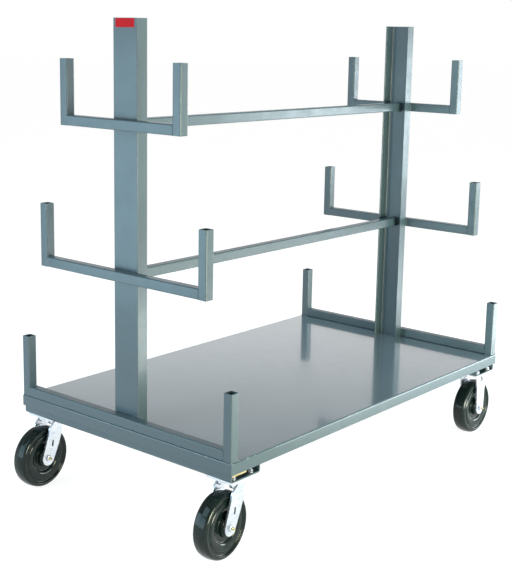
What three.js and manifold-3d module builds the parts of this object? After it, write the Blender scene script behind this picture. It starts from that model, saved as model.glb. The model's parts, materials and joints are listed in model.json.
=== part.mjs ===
// Long material cart: a flat steel deck on four casters with a channel upright at each end.
// Each upright carries level arms with end posts, and two tie bars join the uprights.
// Millimetres, +Z up, +X towards the rigid casters, origin on the floor under the middle.

import * as THREE from "three";
import { mergeVertices } from "three/addons/utils/BufferGeometryUtils.js";
import Module from "manifold-3d";

const wasm = await Module();
wasm.setup();

// Deck pan
const deckLength = 1524;
const deckWidth = 914.4;
const deckSheet = 2.7;
const deckLip = 36.5;
const deckBendRadius = 5;

// Square tube of the arms, posts and tie bars
const tubeSize = 31.75;
const tubeWall = 3;
const tubeCornerRadius = 4;
const postHeight = 200;

// Levels of cross tubes: the clear height under each above the deck, and its overall width.
// The low tubes lie on the deck and stop a little short of its sides.
const middleLevelHeight = 448;
const topLevelHeight = 898;
const lowLevelInset = 2.5;
const middleLevelWidth = 708;
const topLevelWidth = 504;

// Rolled channel of the uprights
const uprightHeight = 1219.2;
const channelDepth = 100;
const channelFlange = 40.2;
const channelWeb = 4.7;
const channelMeanFlange = 7.2;
const channelToeRadius = 3;
const channelRootRadius = 8;
const channelOuterRadius = 2.5;
const channelTaperShare = 1 / 6;

// Bolsters that carry the casters, and the stiffener between them
const bolsterWidth = 127;
const bolsterPlate = 4.6;
const bolsterBendRadius = 8;
const bolsterDrop = 25.4;
const bolsterInset = 5;
const stiffenerWidth = 76;
const stiffenerDepth = 30;
const stiffenerPlate = 3.4;
const stiffenerFoot = 19;
const stiffenerEndGap = 12;

// Casters
const casterHeadroom = 38.1;
const swivelEndInset = 68;
const rigidEndInset = 62;
const casterSideInset = 59.2;
const casterPlateLength = 114.3;
const casterPlateWidth = 101.6;
const casterPlateThickness = 6.35;
const casterPlateCornerRadius = 10;
const casterTrail = 50;
const restSwivelDegrees = 4;

// Mounting bolts
const boltSpacing = 76.2;
const boltRadius = 4.75;
const boltHeadFlats = 14.3;
const boltHeadHeight = 6;
const boltNutHeight = 8;
const boltEndLength = 5;
const boltSlotLength = 16;

// Wheel
const wheelRadius = 101.6;
const wheelWidth = 50.8;
const wheelShoulderRadius = 9;
const wheelRimWidth = 15;
const wheelRimStep = 2.5;
const wheelStepSlope = 2;
const wheelDishRadius = 52;
const wheelDishDepth = 7;
const wheelDishSlope = 5;
const hubRadius = 29;
const hubSlope = 3;
const hubLength = 59;
const hubBoreRadius = 15.1;

// Bearing, bushing and axle
const bearingEndInset = 1.5;
const bearingBoreRadius = 10.2;
const bushingRadius = 9.5;
const axleRadius = 6.35;
const axleHeadFlats = 19;
const axleHeadHeight = 6;
const axleNutHeight = 8;
const axleEndLength = 4;

// Forks; a swivel leg's points are given ahead of its eye, and below the crown's top or above the axle
const forkGap = 63;
const forkPlate = 6.35;
const forkBendRadius = 10;
const forkEyeRadius = 25;
const crownDrop = 5.5;
const crownRadius = 38.5;
const crownBendRadius = 4;
const crownSkirtDepth = 21.5;
const crownSkirtTail = 29;
const crownSkirtNose = 31;
const legTopDrop = 4;
const legTopTail = 36;
const legShoulderTail = 7;
const legShoulderTailDrop = 30.5;
const legKneeTail = 5;
const legKneeTailDrop = 45;
const legTopNose = 56;
const legShoulderNose = 64;
const legShoulderNoseDrop = 29.5;
const legKneeNose = 61;
const legKneeNoseDrop = 51.5;
const legCalfNose = 47;
const legCalfNoseRise = 39.4;
const legSlotNose = 19.5;
const legSlotRise = 45.9;
const legSlotLength = 22;
const legSlotWidth = 7;
const legSlotTiltDegrees = -8.6;
const rigidLegWidth = 60;
const rigidWindowBase = 34;
const rigidWindowRise = 24;
const rigidWindowTopGap = 5;
const rigidWindowCornerRadius = 2.5;

// Swivel head
const raceRadius = 26;
const ballRadius = 3.1;
const ballCount = 10;
const cageWidth = 3;
const cageThickness = 1.6;
const ballDrop = 9.8;
const upperRaceRadius = 32.5;
const upperRaceDepth = 3;
const lowerRaceRadius = 37;
const lowerRaceWall = 2.5;
const lowerRaceTopGap = 1.2;
const kingpinRadius = 6.35;
const kingpinHeadFlats = 19;
const kingpinHeadHeight = 6;
const kingpinPocketRadius = 12.5;
const kingpinNutHeight = 7;
const kingpinEndLength = 3;

// Clearances
const weldGap = 0.2;
const seatGap = 0.3;
const trackGap = 0.8;
const holeGap = 0.4;
const cutOverrun = 5;

// Facets; an arc in an outline gets two for each one named in the first four
const bendFacets = 2;
const cornerFacets = 1;
const eyeFacets = 6;
const plateFacets = 2;
const channelFacets = 3;
const shoulderFacets = 2;
const wheelFacets = 28;
const turnedFacets = 18;
const smallFacets = 10;
const boltFacets = 6;
const trackFacets = 6;
const hexSides = 6;

// Heights and stations that follow from the sizes above
const plateTop = 2 * wheelRadius + casterHeadroom;
const plateUnderside = plateTop - casterPlateThickness;
const bolsterBottom = plateTop + weldGap;
const deckTop = bolsterBottom + bolsterDrop + deckLip;
const deckUnderside = deckTop - deckSheet;
const deckEnd = deckLength / 2;
const deckSide = deckWidth / 2;
const webFace = deckEnd - tubeSize - weldGap;
const swivelStation = deckEnd - swivelEndInset;
const rigidStation = deckEnd - rigidEndInset;
const casterSide = deckSide - casterSideInset;
const bolsterStation = deckEnd - bolsterInset - bolsterWidth / 2;
const axleHeight = wheelRadius;
const crownTop = plateUnderside - crownDrop;
const restSwivel = THREE.MathUtils.degToRad(restSwivelDegrees);
const treadHalf = wheelWidth / 2 - wheelShoulderRadius;
const wheelReach = wheelRadius * Math.cos(restSwivel) + treadHalf * Math.sin(restSwivel);
const nearReach = swivelStation + casterTrail * Math.cos(restSwivel) + wheelReach;
const farReach = rigidStation + wheelRadius;
const levels = [
  { name: "low", height: 0, width: deckWidth - 2 * lowLevelInset },
  { name: "middle", height: middleLevelHeight, width: middleLevelWidth },
  { name: "top", height: topLevelHeight, width: topLevelWidth },
];
const ends = [
  { name: "near", side: -1, bolts: -swivelStation },
  { name: "far", side: 1, bolts: rigidStation },
];
const flanks = [
  { name: "front", side: -1 },
  { name: "back", side: 1 },
];

// Finishes
const paint = { color: 0x8fa3a8, roughness: 0.42, metalness: 0.1 };
const deckPaint = { color: 0xa3acb0, roughness: 0.35, metalness: 0.1 };
const zinc = { color: 0xd4d8da, roughness: 0.3, metalness: 0.85 };
const steel = { color: 0x9a9c9e, roughness: 0.4, metalness: 0.9 };
const yellowZinc = { color: 0xb89a55, roughness: 0.35, metalness: 0.85 };
const phenolic = { color: 0x17191a, roughness: 0.22, metalness: 0 };

// Closed geometry and solids

// Keeps only position, joins shared vertices and drops triangles of no area.
function tidy(geometry) {
  const bare = geometry.index ? geometry.toNonIndexed() : geometry.clone();
  bare.deleteAttribute("normal");
  bare.deleteAttribute("uv");
  const merged = mergeVertices(bare);
  const corners = merged.index.array;
  const kept = [];
  for (let i = 0; i < corners.length; i += 3) {
    const [a, b, c] = [corners[i], corners[i + 1], corners[i + 2]];
    if (a !== b && b !== c && c !== a) kept.push(a, b, c);
  }
  merged.setIndex(kept);
  return merged;
}

function solidOf(geometry) {
  const closed = tidy(geometry);
  const vertProperties = new Float32Array(closed.attributes.position.array);
  const triVerts = new Uint32Array(closed.index.array);
  return new wasm.Manifold(new wasm.Mesh({ numProp: 3, vertProperties, triVerts }));
}

function geometryOf(solid) {
  const mesh = solid.getMesh();
  const geometry = new THREE.BufferGeometry();
  geometry.setAttribute("position", new THREE.BufferAttribute(new Float32Array(mesh.vertProperties), 3));
  geometry.setIndex(new THREE.BufferAttribute(new Uint32Array(mesh.triVerts), 1));
  return geometry;
}

function cut(body, ...tools) {
  let solid = solidOf(body);
  for (const tool of tools) solid = solid.subtract(solidOf(tool));
  return geometryOf(solid);
}

function join(...bodies) {
  let solid = solidOf(bodies[0]);
  for (const body of bodies.slice(1)) solid = solid.add(solidOf(body));
  return geometryOf(solid);
}

function common(...bodies) {
  let solid = solidOf(bodies[0]);
  for (const body of bodies.slice(1)) solid = solid.intersect(solidOf(body));
  return geometryOf(solid);
}

// Outlines and the stock made from them

function roundedRectangle(width, height, radius) {
  const shape = new THREE.Shape();
  const x = width / 2 - radius;
  const y = height / 2 - radius;
  shape.absarc(x, y, radius, 0, Math.PI / 2);
  shape.absarc(-x, y, radius, Math.PI / 2, Math.PI);
  shape.absarc(-x, -y, radius, Math.PI, Math.PI * 1.5);
  shape.absarc(x, -y, radius, Math.PI * 1.5, Math.PI * 2);
  return shape;
}

// Extrudes an outline from 0 to length along its own Z.
function extrude(shape, length, facets = bendFacets) {
  return new THREE.ExtrudeGeometry(shape, { depth: length, bevelEnabled: false, curveSegments: facets });
}

// The outline's first axis runs along Y and its second along Z; the bar is centred on X.
function alongX(shape, length, facets) {
  const bar = extrude(shape, length, facets);
  bar.translate(0, 0, -length / 2);
  bar.rotateX(Math.PI / 2);
  bar.rotateZ(Math.PI / 2);
  return bar;
}

// The outline's first axis runs along X and its second along Z; the bar is centred on Y.
function alongY(shape, length, facets) {
  const bar = extrude(shape, length, facets);
  bar.translate(0, 0, -length / 2);
  bar.rotateX(Math.PI / 2);
  return bar;
}

// A round bar on the Z axis from low to high.
function upright(radius, low, high, facets = smallFacets) {
  const bar = new THREE.CylinderGeometry(radius, radius, high - low, facets);
  bar.rotateX(Math.PI / 2);
  bar.translate(0, 0, (high + low) / 2);
  return bar;
}

// A round bar along Y from low to high.
function crosswise(radius, low, high, facets = smallFacets) {
  const bar = new THREE.CylinderGeometry(radius, radius, high - low, facets);
  bar.translate(0, (high + low) / 2, 0);
  return bar;
}

function hexRadius(flats) {
  return flats / 2 / Math.cos(Math.PI / hexSides);
}

// A profile of radius and height turned about Z; it is closed or ends on the axis.
function turned(profile, facets = turnedFacets) {
  const points = profile.map(([radius, height]) => new THREE.Vector2(radius, height));
  const shape = new THREE.LatheGeometry(points, facets);
  shape.rotateX(Math.PI / 2);
  return shape;
}

// The point where a line from outside touches a circle, as an angle at its centre.
function touchAngle(point, centre, radius, turn) {
  const dx = point[0] - centre[0];
  const dy = point[1] - centre[1];
  return Math.atan2(dy, dx) + turn * Math.acos(radius / Math.hypot(dx, dy));
}

// Square tube, running up from 0
function tube(length) {
  const outline = roundedRectangle(tubeSize, tubeSize, tubeCornerRadius);
  const bore = tubeSize / 2 - tubeWall;
  const corners = [[-bore, -bore], [bore, -bore], [bore, bore], [-bore, bore]];
  outline.holes.push(new THREE.Path(corners.map(([x, y]) => new THREE.Vector2(x, y))));
  return extrude(outline, length, cornerFacets);
}

function tubeAlongY(length) {
  const bar = tube(length);
  bar.translate(0, 0, -length / 2);
  bar.rotateX(Math.PI / 2);
  return bar;
}

function tubeAlongX(length) {
  const bar = tube(length);
  bar.translate(0, 0, -length / 2);
  bar.rotateY(Math.PI / 2);
  return bar;
}

// Rolled channel, web face on the Y axis and flanges towards +X, running up from 0
function channelBar(length) {
  const half = channelDepth / 2;
  const mean = (channelWeb + channelFlange) / 2;
  const inside = (reach) => half - channelMeanFlange - (mean - reach) * channelTaperShare;
  const root = channelWeb + channelRootRadius;
  const toe = channelFlange - channelToeRadius;
  const corner = inside(channelWeb);
  const tip = inside(channelFlange);
  const shape = new THREE.Shape();
  shape.moveTo(channelOuterRadius, -half);
  shape.lineTo(channelFlange, -half);
  shape.lineTo(channelFlange, -tip - channelToeRadius);
  shape.quadraticCurveTo(channelFlange, -tip, toe, -inside(toe));
  shape.lineTo(root, -inside(root));
  shape.quadraticCurveTo(channelWeb, -corner, channelWeb, channelRootRadius - corner);
  shape.lineTo(channelWeb, corner - channelRootRadius);
  shape.quadraticCurveTo(channelWeb, corner, root, inside(root));
  shape.lineTo(toe, inside(toe));
  shape.quadraticCurveTo(channelFlange, tip, channelFlange, tip + channelToeRadius);
  shape.lineTo(channelFlange, half);
  shape.lineTo(channelOuterRadius, half);
  shape.quadraticCurveTo(0, half, 0, half - channelOuterRadius);
  shape.lineTo(0, channelOuterRadius - half);
  shape.quadraticCurveTo(0, -half, channelOuterRadius, -half);
  return extrude(shape, length, channelFacets);
}

// Deck pan: a folded sheet with a lip down on all four sides and rounded bends
function panSection(width, top, bottom, radius) {
  const half = width / 2;
  const shape = new THREE.Shape();
  shape.moveTo(-half, bottom);
  shape.lineTo(half, bottom);
  shape.absarc(half - radius, top - radius, radius, 0, Math.PI / 2);
  shape.absarc(radius - half, top - radius, radius, Math.PI / 2, Math.PI);
  shape.lineTo(-half, bottom);
  return shape;
}

function panBlock(inset, bottom) {
  const top = deckTop - inset;
  const radius = deckBendRadius - inset;
  const across = panSection(deckWidth - 2 * inset, top, bottom, radius);
  const along = panSection(deckLength - 2 * inset, top, bottom, radius);
  return common(alongX(across, deckLength + cutOverrun), alongY(along, deckWidth + cutOverrun));
}

function deckPan() {
  const bottom = deckTop - deckLip;
  return cut(panBlock(0, bottom), panBlock(deckSheet, bottom - cutOverrun));
}

// Bolster: a folded channel, flanges up, with the casters' bolts through its web
function bolster() {
  const height = deckUnderside - weldGap - bolsterBottom;
  const half = bolsterWidth / 2;
  const inner = bolsterBendRadius - bolsterPlate;
  const shape = new THREE.Shape();
  shape.moveTo(-half, height);
  shape.absarc(bolsterBendRadius - half, bolsterBendRadius, bolsterBendRadius, Math.PI, Math.PI * 1.5);
  shape.absarc(half - bolsterBendRadius, bolsterBendRadius, bolsterBendRadius, Math.PI * 1.5, Math.PI * 2);
  shape.lineTo(half, height);
  shape.lineTo(half - bolsterPlate, height);
  shape.absarc(half - bolsterBendRadius, bolsterBendRadius, inner, 0, -Math.PI / 2, true);
  shape.absarc(bolsterBendRadius - half, bolsterBendRadius, inner, -Math.PI / 2, -Math.PI, true);
  shape.lineTo(bolsterPlate - half, height);
  const channel = alongY(shape, deckWidth - 2 * bolsterInset);
  channel.translate(0, 0, bolsterBottom);
  return channel;
}

function mountingBolt(x, y) {
  const headTop = plateUnderside - seatGap;
  const webTop = bolsterBottom + bolsterPlate;
  const nutTop = webTop + boltNutHeight;
  const head = upright(hexRadius(boltHeadFlats), headTop - boltHeadHeight, headTop, hexSides);
  const shank = upright(boltRadius, headTop - boltHeadHeight / 2, nutTop + boltEndLength, boltFacets);
  const nut = upright(hexRadius(boltHeadFlats), webTop - bolsterPlate / 2, nutTop, hexSides);
  const bolt = join(head, shank, nut);
  bolt.translate(x, y, 0);
  return bolt;
}

function boltedBolster(end) {
  const parts = [];
  for (const flank of flanks) {
    for (const dx of [-boltSpacing / 2, boltSpacing / 2]) {
      for (const dy of [-boltSpacing / 2, boltSpacing / 2]) {
        parts.push(mountingBolt(end.bolts + dx, flank.side * casterSide + dy));
      }
    }
  }
  const channel = bolster();
  channel.translate(end.side * bolsterStation, 0, 0);
  return join(channel, ...parts);
}

// Stiffener: a folded hat section under the middle of the deck, between the bolsters
function stiffener() {
  const half = stiffenerWidth / 2;
  const foot = half + stiffenerFoot;
  const top = deckUnderside - weldGap;
  const crest = top - stiffenerDepth;
  const shape = new THREE.Shape();
  shape.moveTo(-foot, top);
  shape.lineTo(-foot, top - stiffenerPlate);
  shape.lineTo(-half, top - stiffenerPlate);
  shape.lineTo(-half, crest);
  shape.lineTo(half, crest);
  shape.lineTo(half, top - stiffenerPlate);
  shape.lineTo(foot, top - stiffenerPlate);
  shape.lineTo(foot, top);
  shape.lineTo(half - stiffenerPlate, top);
  shape.lineTo(half - stiffenerPlate, crest + stiffenerPlate);
  shape.lineTo(stiffenerPlate - half, crest + stiffenerPlate);
  shape.lineTo(stiffenerPlate - half, top);
  const length = 2 * (bolsterStation - bolsterWidth / 2 - stiffenerEndGap);
  return alongX(shape, length);
}

// Caster plate with four slots for its mounting bolts, each towards the plate's centre
function slotOutline(sideX, sideY) {
  const radius = boltRadius + holeGap;
  const angle = sideX * sideY * Math.PI / 4;
  const centre = new THREE.Vector2(sideX * boltSpacing / 2, sideY * boltSpacing / 2);
  const points = roundedRectangle(boltSlotLength, 2 * radius, radius).getPoints(cornerFacets);
  const middle = new THREE.Vector2();
  return new THREE.Path(points.map((point) => point.rotateAround(middle, angle).add(centre)));
}

function casterPlate() {
  const outline = roundedRectangle(casterPlateLength, casterPlateWidth, casterPlateCornerRadius);
  for (const sideX of [-1, 1]) {
    for (const sideY of [-1, 1]) outline.holes.push(slotOutline(sideX, sideY));
  }
  const plate = extrude(outline, casterPlateThickness, plateFacets);
  plate.translate(0, 0, plateUnderside);
  return plate;
}

// Groove of the ball track, as a ring of round section
function ballTrack() {
  const radius = ballRadius + trackGap;
  const height = plateTop - ballDrop;
  const profile = [];
  for (let i = 0; i <= trackFacets; i += 1) {
    const angle = (i / trackFacets) * Math.PI * 2;
    profile.push([raceRadius + radius * Math.cos(angle), height + radius * Math.sin(angle)]);
  }
  return turned(profile);
}

// Swivel plate: the caster plate with the upper race under it and a pocket for the kingpin's head
function swivelPlate() {
  const bossLow = plateUnderside - upperRaceDepth;
  const boss = upright(upperRaceRadius, bossLow, plateTop - casterPlateThickness / 2, turnedFacets);
  const bore = upright(kingpinRadius + holeGap, 0, plateTop + cutOverrun);
  const headSeat = plateTop - kingpinHeadHeight - 2 * seatGap;
  const pocket = upright(kingpinPocketRadius, headSeat, plateTop + cutOverrun, turnedFacets);
  return cut(join(casterPlate(), boss), bore, pocket, ballTrack());
}

// Ring of balls held in a thin cage
function ballRing() {
  const height = plateTop - ballDrop;
  const low = height - cageThickness / 2;
  const high = height + cageThickness / 2;
  const inner = raceRadius - cageWidth / 2;
  const outer = raceRadius + cageWidth / 2;
  const parts = [turned([[inner, low], [outer, low], [outer, high], [inner, high], [inner, low]])];
  for (let i = 0; i < ballCount; i += 1) {
    const angle = (i / ballCount) * Math.PI * 2;
    const ball = new THREE.IcosahedronGeometry(ballRadius);
    ball.translate(raceRadius * Math.cos(angle), raceRadius * Math.sin(angle), height);
    parts.push(ball);
  }
  return join(...parts);
}

function kingpin() {
  const headLow = plateTop - kingpinHeadHeight - seatGap;
  const nutTop = crownTop - forkPlate - seatGap;
  const end = nutTop - kingpinNutHeight - kingpinEndLength;
  const head = upright(hexRadius(kingpinHeadFlats), headLow, headLow + kingpinHeadHeight, hexSides);
  return join(head, upright(kingpinRadius, end, headLow + kingpinHeadHeight / 2));
}

function kingpinNut() {
  const top = crownTop - forkPlate - seatGap;
  const nut = upright(hexRadius(kingpinHeadFlats), top - kingpinNutHeight, top, hexSides);
  return cut(nut, upright(kingpinRadius + seatGap, 0, plateTop));
}

function axleHole(x) {
  const hole = crosswise(axleRadius + holeGap, -casterPlateLength, casterPlateLength);
  hole.translate(x, 0, axleHeight);
  return hole;
}

// Crown of a swivel fork: a disc whose rim is pressed down into a skirt over each leg
function crown() {
  const underside = crownTop - forkPlate;
  const low = crownTop - crownSkirtDepth;
  const inner = crownRadius - forkPlate;
  const dish = turned([
    [0, underside],
    [inner, underside],
    [inner, low],
    [crownRadius, low],
    [crownRadius, crownTop - crownBendRadius],
    [crownRadius - crownBendRadius / 4, crownTop - crownBendRadius / 4],
    [crownRadius - crownBendRadius, crownTop],
    [0, crownTop],
  ]);
  const length = crownSkirtTail + crownSkirtNose;
  const middle = new THREE.BoxGeometry(length, 3 * crownRadius, 2 * crownSkirtDepth);
  middle.translate((crownSkirtNose - crownSkirtTail) / 2, 0, crownTop);
  const disc = upright(2 * crownRadius, underside, crownTop + cutOverrun);
  return common(dish, join(middle, disc));
}

// Leg of a swivel fork seen from the side: it leans back from the crown to an eye behind the kingpin
function swivelLegOutline() {
  const eye = [-casterTrail, axleHeight];
  const tail = [legKneeTail - casterTrail, crownTop - legKneeTailDrop];
  const nose = [legCalfNose - casterTrail, axleHeight + legCalfNoseRise];
  const from = touchAngle(tail, eye, forkEyeRadius, 1);
  const to = touchAngle(nose, eye, forkEyeRadius, -1) + Math.PI * 2;
  const shape = new THREE.Shape();
  shape.moveTo(legTopNose - casterTrail, crownTop - legTopDrop);
  shape.lineTo(legTopTail - casterTrail, crownTop - legTopDrop);
  shape.lineTo(legShoulderTail - casterTrail, crownTop - legShoulderTailDrop);
  shape.lineTo(...tail);
  shape.absarc(...eye, forkEyeRadius, from, to);
  shape.lineTo(...nose);
  shape.lineTo(legKneeNose - casterTrail, crownTop - legKneeNoseDrop);
  shape.lineTo(legShoulderNose - casterTrail, crownTop - legShoulderNoseDrop);
  return shape;
}

// Outer wall of the ball race, standing on the crown
function lowerRace() {
  const inner = lowerRaceRadius - lowerRaceWall;
  const low = crownTop - forkPlate / 2;
  const high = plateUnderside - lowerRaceTopGap;
  return turned([
    [inner, low],
    [lowerRaceRadius, low],
    [lowerRaceRadius, high],
    [inner, high],
    [inner, low],
  ]);
}

function swivelFork() {
  const slab = alongY(swivelLegOutline(), forkGap + 2 * forkPlate, eyeFacets);
  const legs = cut(slab, new THREE.BoxGeometry(4 * crownRadius + casterTrail, forkGap, 2 * plateTop));
  const slotShape = roundedRectangle(legSlotWidth, legSlotLength, legSlotWidth / 2);
  const slot = alongY(slotShape, casterPlateLength * 2);
  slot.rotateY(THREE.MathUtils.degToRad(-legSlotTiltDegrees));
  slot.translate(legSlotNose - casterTrail, 0, axleHeight + legSlotRise);
  const bore = upright(kingpinRadius + holeGap, 0, plateTop);
  return cut(join(crown(), legs, lowerRace()), ballTrack(), bore, slot, axleHole(-casterTrail));
}

// Window in a rigid fork's shoulder: a triangle, apex up, with rounded corners
function rigidWindow(apex) {
  const radius = rigidWindowCornerRadius;
  const half = rigidWindowBase / 2;
  const base = apex - rigidWindowRise;
  const window = new THREE.Shape();
  window.moveTo(radius - half, base);
  window.lineTo(half - radius, base);
  window.quadraticCurveTo(half, base, half - radius, base + radius);
  window.lineTo(radius, apex - radius);
  window.quadraticCurveTo(0, apex, -radius, apex - radius);
  window.lineTo(radius - half, base + radius);
  window.quadraticCurveTo(-half, base, radius - half, base);
  return window;
}

// Fork of a rigid caster: a U bent from plate, with a window in each shoulder, welded under its plate
function rigidFork() {
  const top = plateUnderside - weldGap;
  const half = rigidLegWidth / 2;
  const eye = [0, axleHeight];
  const from = touchAngle([-half, top], eye, forkEyeRadius, 1);
  const to = touchAngle([half, top], eye, forkEyeRadius, -1) + Math.PI * 2;
  const outline = new THREE.Shape();
  outline.moveTo(half, top);
  outline.lineTo(-half, top);
  outline.absarc(...eye, forkEyeRadius, from, to);
  const leg = alongY(outline, forkGap + 4 * forkPlate, eyeFacets);
  const opening = alongY(rigidWindow(top - rigidWindowTopGap), casterPlateLength * 2);
  const outer = panSection(forkGap + 2 * forkPlate, top, 0, forkBendRadius);
  const inner = panSection(forkGap, top - forkPlate, -cutOverrun, forkBendRadius - forkPlate);
  const blank = cut(alongX(outer, 2 * rigidLegWidth), alongX(inner, 2 * rigidLegWidth + cutOverrun));
  return cut(common(blank, leg), opening, axleHole(0));
}

// Wheel: a moulded phenolic wheel, turned about its axle, with a stepped rim, a dish and a hub
function wheel() {
  const side = wheelWidth / 2;
  const shoulder = [];
  for (let i = 0; i <= shoulderFacets; i += 1) {
    const angle = (i / shoulderFacets) * Math.PI / 2;
    const radius = wheelRadius - wheelShoulderRadius + wheelShoulderRadius * Math.cos(angle);
    shoulder.push([radius, treadHalf + wheelShoulderRadius * Math.sin(angle)]);
  }
  const rimEdge = wheelRadius - wheelRimWidth;
  const face = [
    ...shoulder,
    [rimEdge, side],
    [rimEdge - wheelStepSlope, side - wheelRimStep],
    [wheelDishRadius, side - wheelRimStep],
    [wheelDishRadius - wheelDishSlope, side - wheelRimStep - wheelDishDepth],
    [hubRadius + hubSlope, side - wheelRimStep - wheelDishDepth],
    [hubRadius, hubLength / 2],
    [hubBoreRadius, hubLength / 2],
  ];
  const back = face.map(([radius, height]) => [radius, -height]).reverse();
  const profile = [...back, ...face, back[0]];
  const shape = turned(profile, wheelFacets);
  shape.rotateX(-Math.PI / 2);
  return shape;
}

function ringAlongY(inner, outer, length) {
  const half = length / 2;
  const section = [[inner, -half], [outer, -half], [outer, half], [inner, half], [inner, -half]];
  const ring = turned(section, smallFacets);
  ring.rotateX(-Math.PI / 2);
  return ring;
}

function rollerBearing() {
  return ringAlongY(bearingBoreRadius, hubBoreRadius - seatGap, hubLength - 2 * bearingEndInset);
}

function hubBushing() {
  return ringAlongY(axleRadius + seatGap, bushingRadius, forkGap - 2 * seatGap);
}

function axleBolt() {
  const face = forkGap / 2 + forkPlate + seatGap;
  const head = crosswise(hexRadius(axleHeadFlats), -face - axleHeadHeight, -face, hexSides);
  const end = face + axleNutHeight + axleEndLength;
  return join(head, crosswise(axleRadius, -face - axleHeadHeight / 2, end));
}

function axleNut() {
  const face = forkGap / 2 + forkPlate + seatGap;
  const nut = crosswise(hexRadius(axleHeadFlats), face, face + axleNutHeight, hexSides);
  return cut(nut, crosswise(axleRadius + seatGap, 0, forkGap));
}

// The assembly

const cart = new THREE.Group();
cart.position.x = (nearReach - farReach) / 2;

function add(parent, name, geometry, finish, place = [0, 0, 0]) {
  const mesh = new THREE.Mesh(tidy(geometry), new THREE.MeshStandardMaterial(finish));
  mesh.geometry.computeVertexNormals();
  mesh.name = name;
  mesh.position.set(...place);
  parent.add(mesh);
}

function addFrame() {
  add(cart, "deck_pan", deckPan(), deckPaint);
  add(cart, "deck_stiffener", stiffener(), paint);
  for (const end of ends) {
    add(cart, `bolster_${end.name}`, boltedBolster(end), paint);
    const post = channelBar(uprightHeight - weldGap);
    if (end.side > 0) post.rotateZ(Math.PI);
    add(cart, `upright_${end.name}`, post, paint, [end.side * webFace, 0, deckTop + weldGap]);
    for (const level of levels) addLevel(end, level);
  }
  for (const level of levels.slice(1)) {
    const length = 2 * (webFace - channelWeb - weldGap);
    const height = deckTop + weldGap + level.height + tubeSize / 2;
    add(cart, `tie_bar_${level.name}`, tubeAlongX(length), paint, [0, 0, height]);
  }
}

function addLevel(end, level) {
  const x = end.side * (deckEnd - tubeSize / 2);
  const low = deckTop + weldGap + level.height;
  const length = level.width - 2 * tubeSize - 2 * weldGap;
  add(cart, `cross_tube_${end.name}_${level.name}`, tubeAlongY(length), paint, [x, 0, low + tubeSize / 2]);
  for (const flank of flanks) {
    const y = flank.side * (level.width / 2 - tubeSize / 2);
    add(cart, `post_${end.name}_${level.name}_${flank.name}`, tube(postHeight), paint, [x, y, low]);
  }
}

function addWheelSet(group, kind, x) {
  add(group, `wheel_${kind}`, wheel(), phenolic, [x, 0, axleHeight]);
  add(group, `roller_bearing_${kind}`, rollerBearing(), steel, [x, 0, axleHeight]);
  add(group, `hub_bushing_${kind}`, hubBushing(), steel, [x, 0, axleHeight]);
  add(group, `axle_bolt_${kind}`, axleBolt(), zinc, [x, 0, axleHeight]);
  add(group, `axle_nut_${kind}`, axleNut(), yellowZinc, [x, 0, axleHeight]);
}

function addSwivelCaster(flank) {
  const kind = `swivel_${flank.name}`;
  const mount = new THREE.Group();
  mount.position.set(-swivelStation, flank.side * casterSide, 0);
  cart.add(mount);
  add(mount, `caster_plate_${kind}`, swivelPlate(), zinc);
  add(mount, `ball_ring_${kind}`, ballRing(), steel);
  add(mount, `kingpin_bolt_${kind}`, kingpin(), zinc);
  add(mount, `kingpin_nut_${kind}`, kingpinNut(), zinc);
  const turning = new THREE.Group();
  turning.rotation.z = restSwivel;
  mount.add(turning);
  add(turning, `fork_${kind}`, swivelFork(), zinc);
  addWheelSet(turning, kind, -casterTrail);
}

function addRigidCaster(flank) {
  const kind = `rigid_${flank.name}`;
  const mount = new THREE.Group();
  mount.position.set(rigidStation, flank.side * casterSide, 0);
  cart.add(mount);
  add(mount, `caster_plate_${kind}`, casterPlate(), zinc);
  add(mount, `fork_${kind}`, rigidFork(), zinc);
  addWheelSet(mount, kind, 0);
}

addFrame();
for (const flank of flanks) {
  addSwivelCaster(flank);
  addRigidCaster(flank);
}

export default cart;
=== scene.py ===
"""Long material cart: finished surfaces, welds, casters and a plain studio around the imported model."""

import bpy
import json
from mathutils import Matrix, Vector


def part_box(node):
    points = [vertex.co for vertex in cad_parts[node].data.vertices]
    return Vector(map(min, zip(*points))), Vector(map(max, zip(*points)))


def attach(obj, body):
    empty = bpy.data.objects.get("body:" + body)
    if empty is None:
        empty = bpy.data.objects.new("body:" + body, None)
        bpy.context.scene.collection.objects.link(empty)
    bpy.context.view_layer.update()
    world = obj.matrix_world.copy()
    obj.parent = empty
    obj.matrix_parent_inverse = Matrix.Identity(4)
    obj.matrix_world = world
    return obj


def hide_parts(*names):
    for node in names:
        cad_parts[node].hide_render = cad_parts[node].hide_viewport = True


bl_info = {
    "name": "Long Material Cart",
    "version": (1, 0, 0),
    "blender": (4, 5, 0),
    "location": "View3D > Sidebar > Cart",
    "description": "Makes the sheet metal, welds, casters and studio of a long material cart",
    "category": "Object",
}

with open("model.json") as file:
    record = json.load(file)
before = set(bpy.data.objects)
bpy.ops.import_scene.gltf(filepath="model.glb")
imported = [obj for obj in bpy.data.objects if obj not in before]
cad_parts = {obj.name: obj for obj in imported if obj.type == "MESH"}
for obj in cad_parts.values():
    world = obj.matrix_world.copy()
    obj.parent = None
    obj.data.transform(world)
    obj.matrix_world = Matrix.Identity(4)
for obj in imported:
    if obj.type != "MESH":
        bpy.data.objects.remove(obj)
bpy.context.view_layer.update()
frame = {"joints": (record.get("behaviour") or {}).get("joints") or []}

import itertools
import json
import math
import random

import bmesh
import bpy
from bpy.props import FloatProperty, FloatVectorProperty, IntProperty, PointerProperty
from mathutils import Matrix, Vector

MM = 0.001

ENDS = ("near", "far")
FLANKS = ("front", "back")
LEVELS = ("low", "middle", "top")
SWIVELS = ("swivel_front", "swivel_back")
RIGIDS = ("rigid_front", "rigid_back")
CASTERS = SWIVELS + RIGIDS

JOINTS = {joint["name"]: joint for joint in frame["joints"]}

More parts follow.
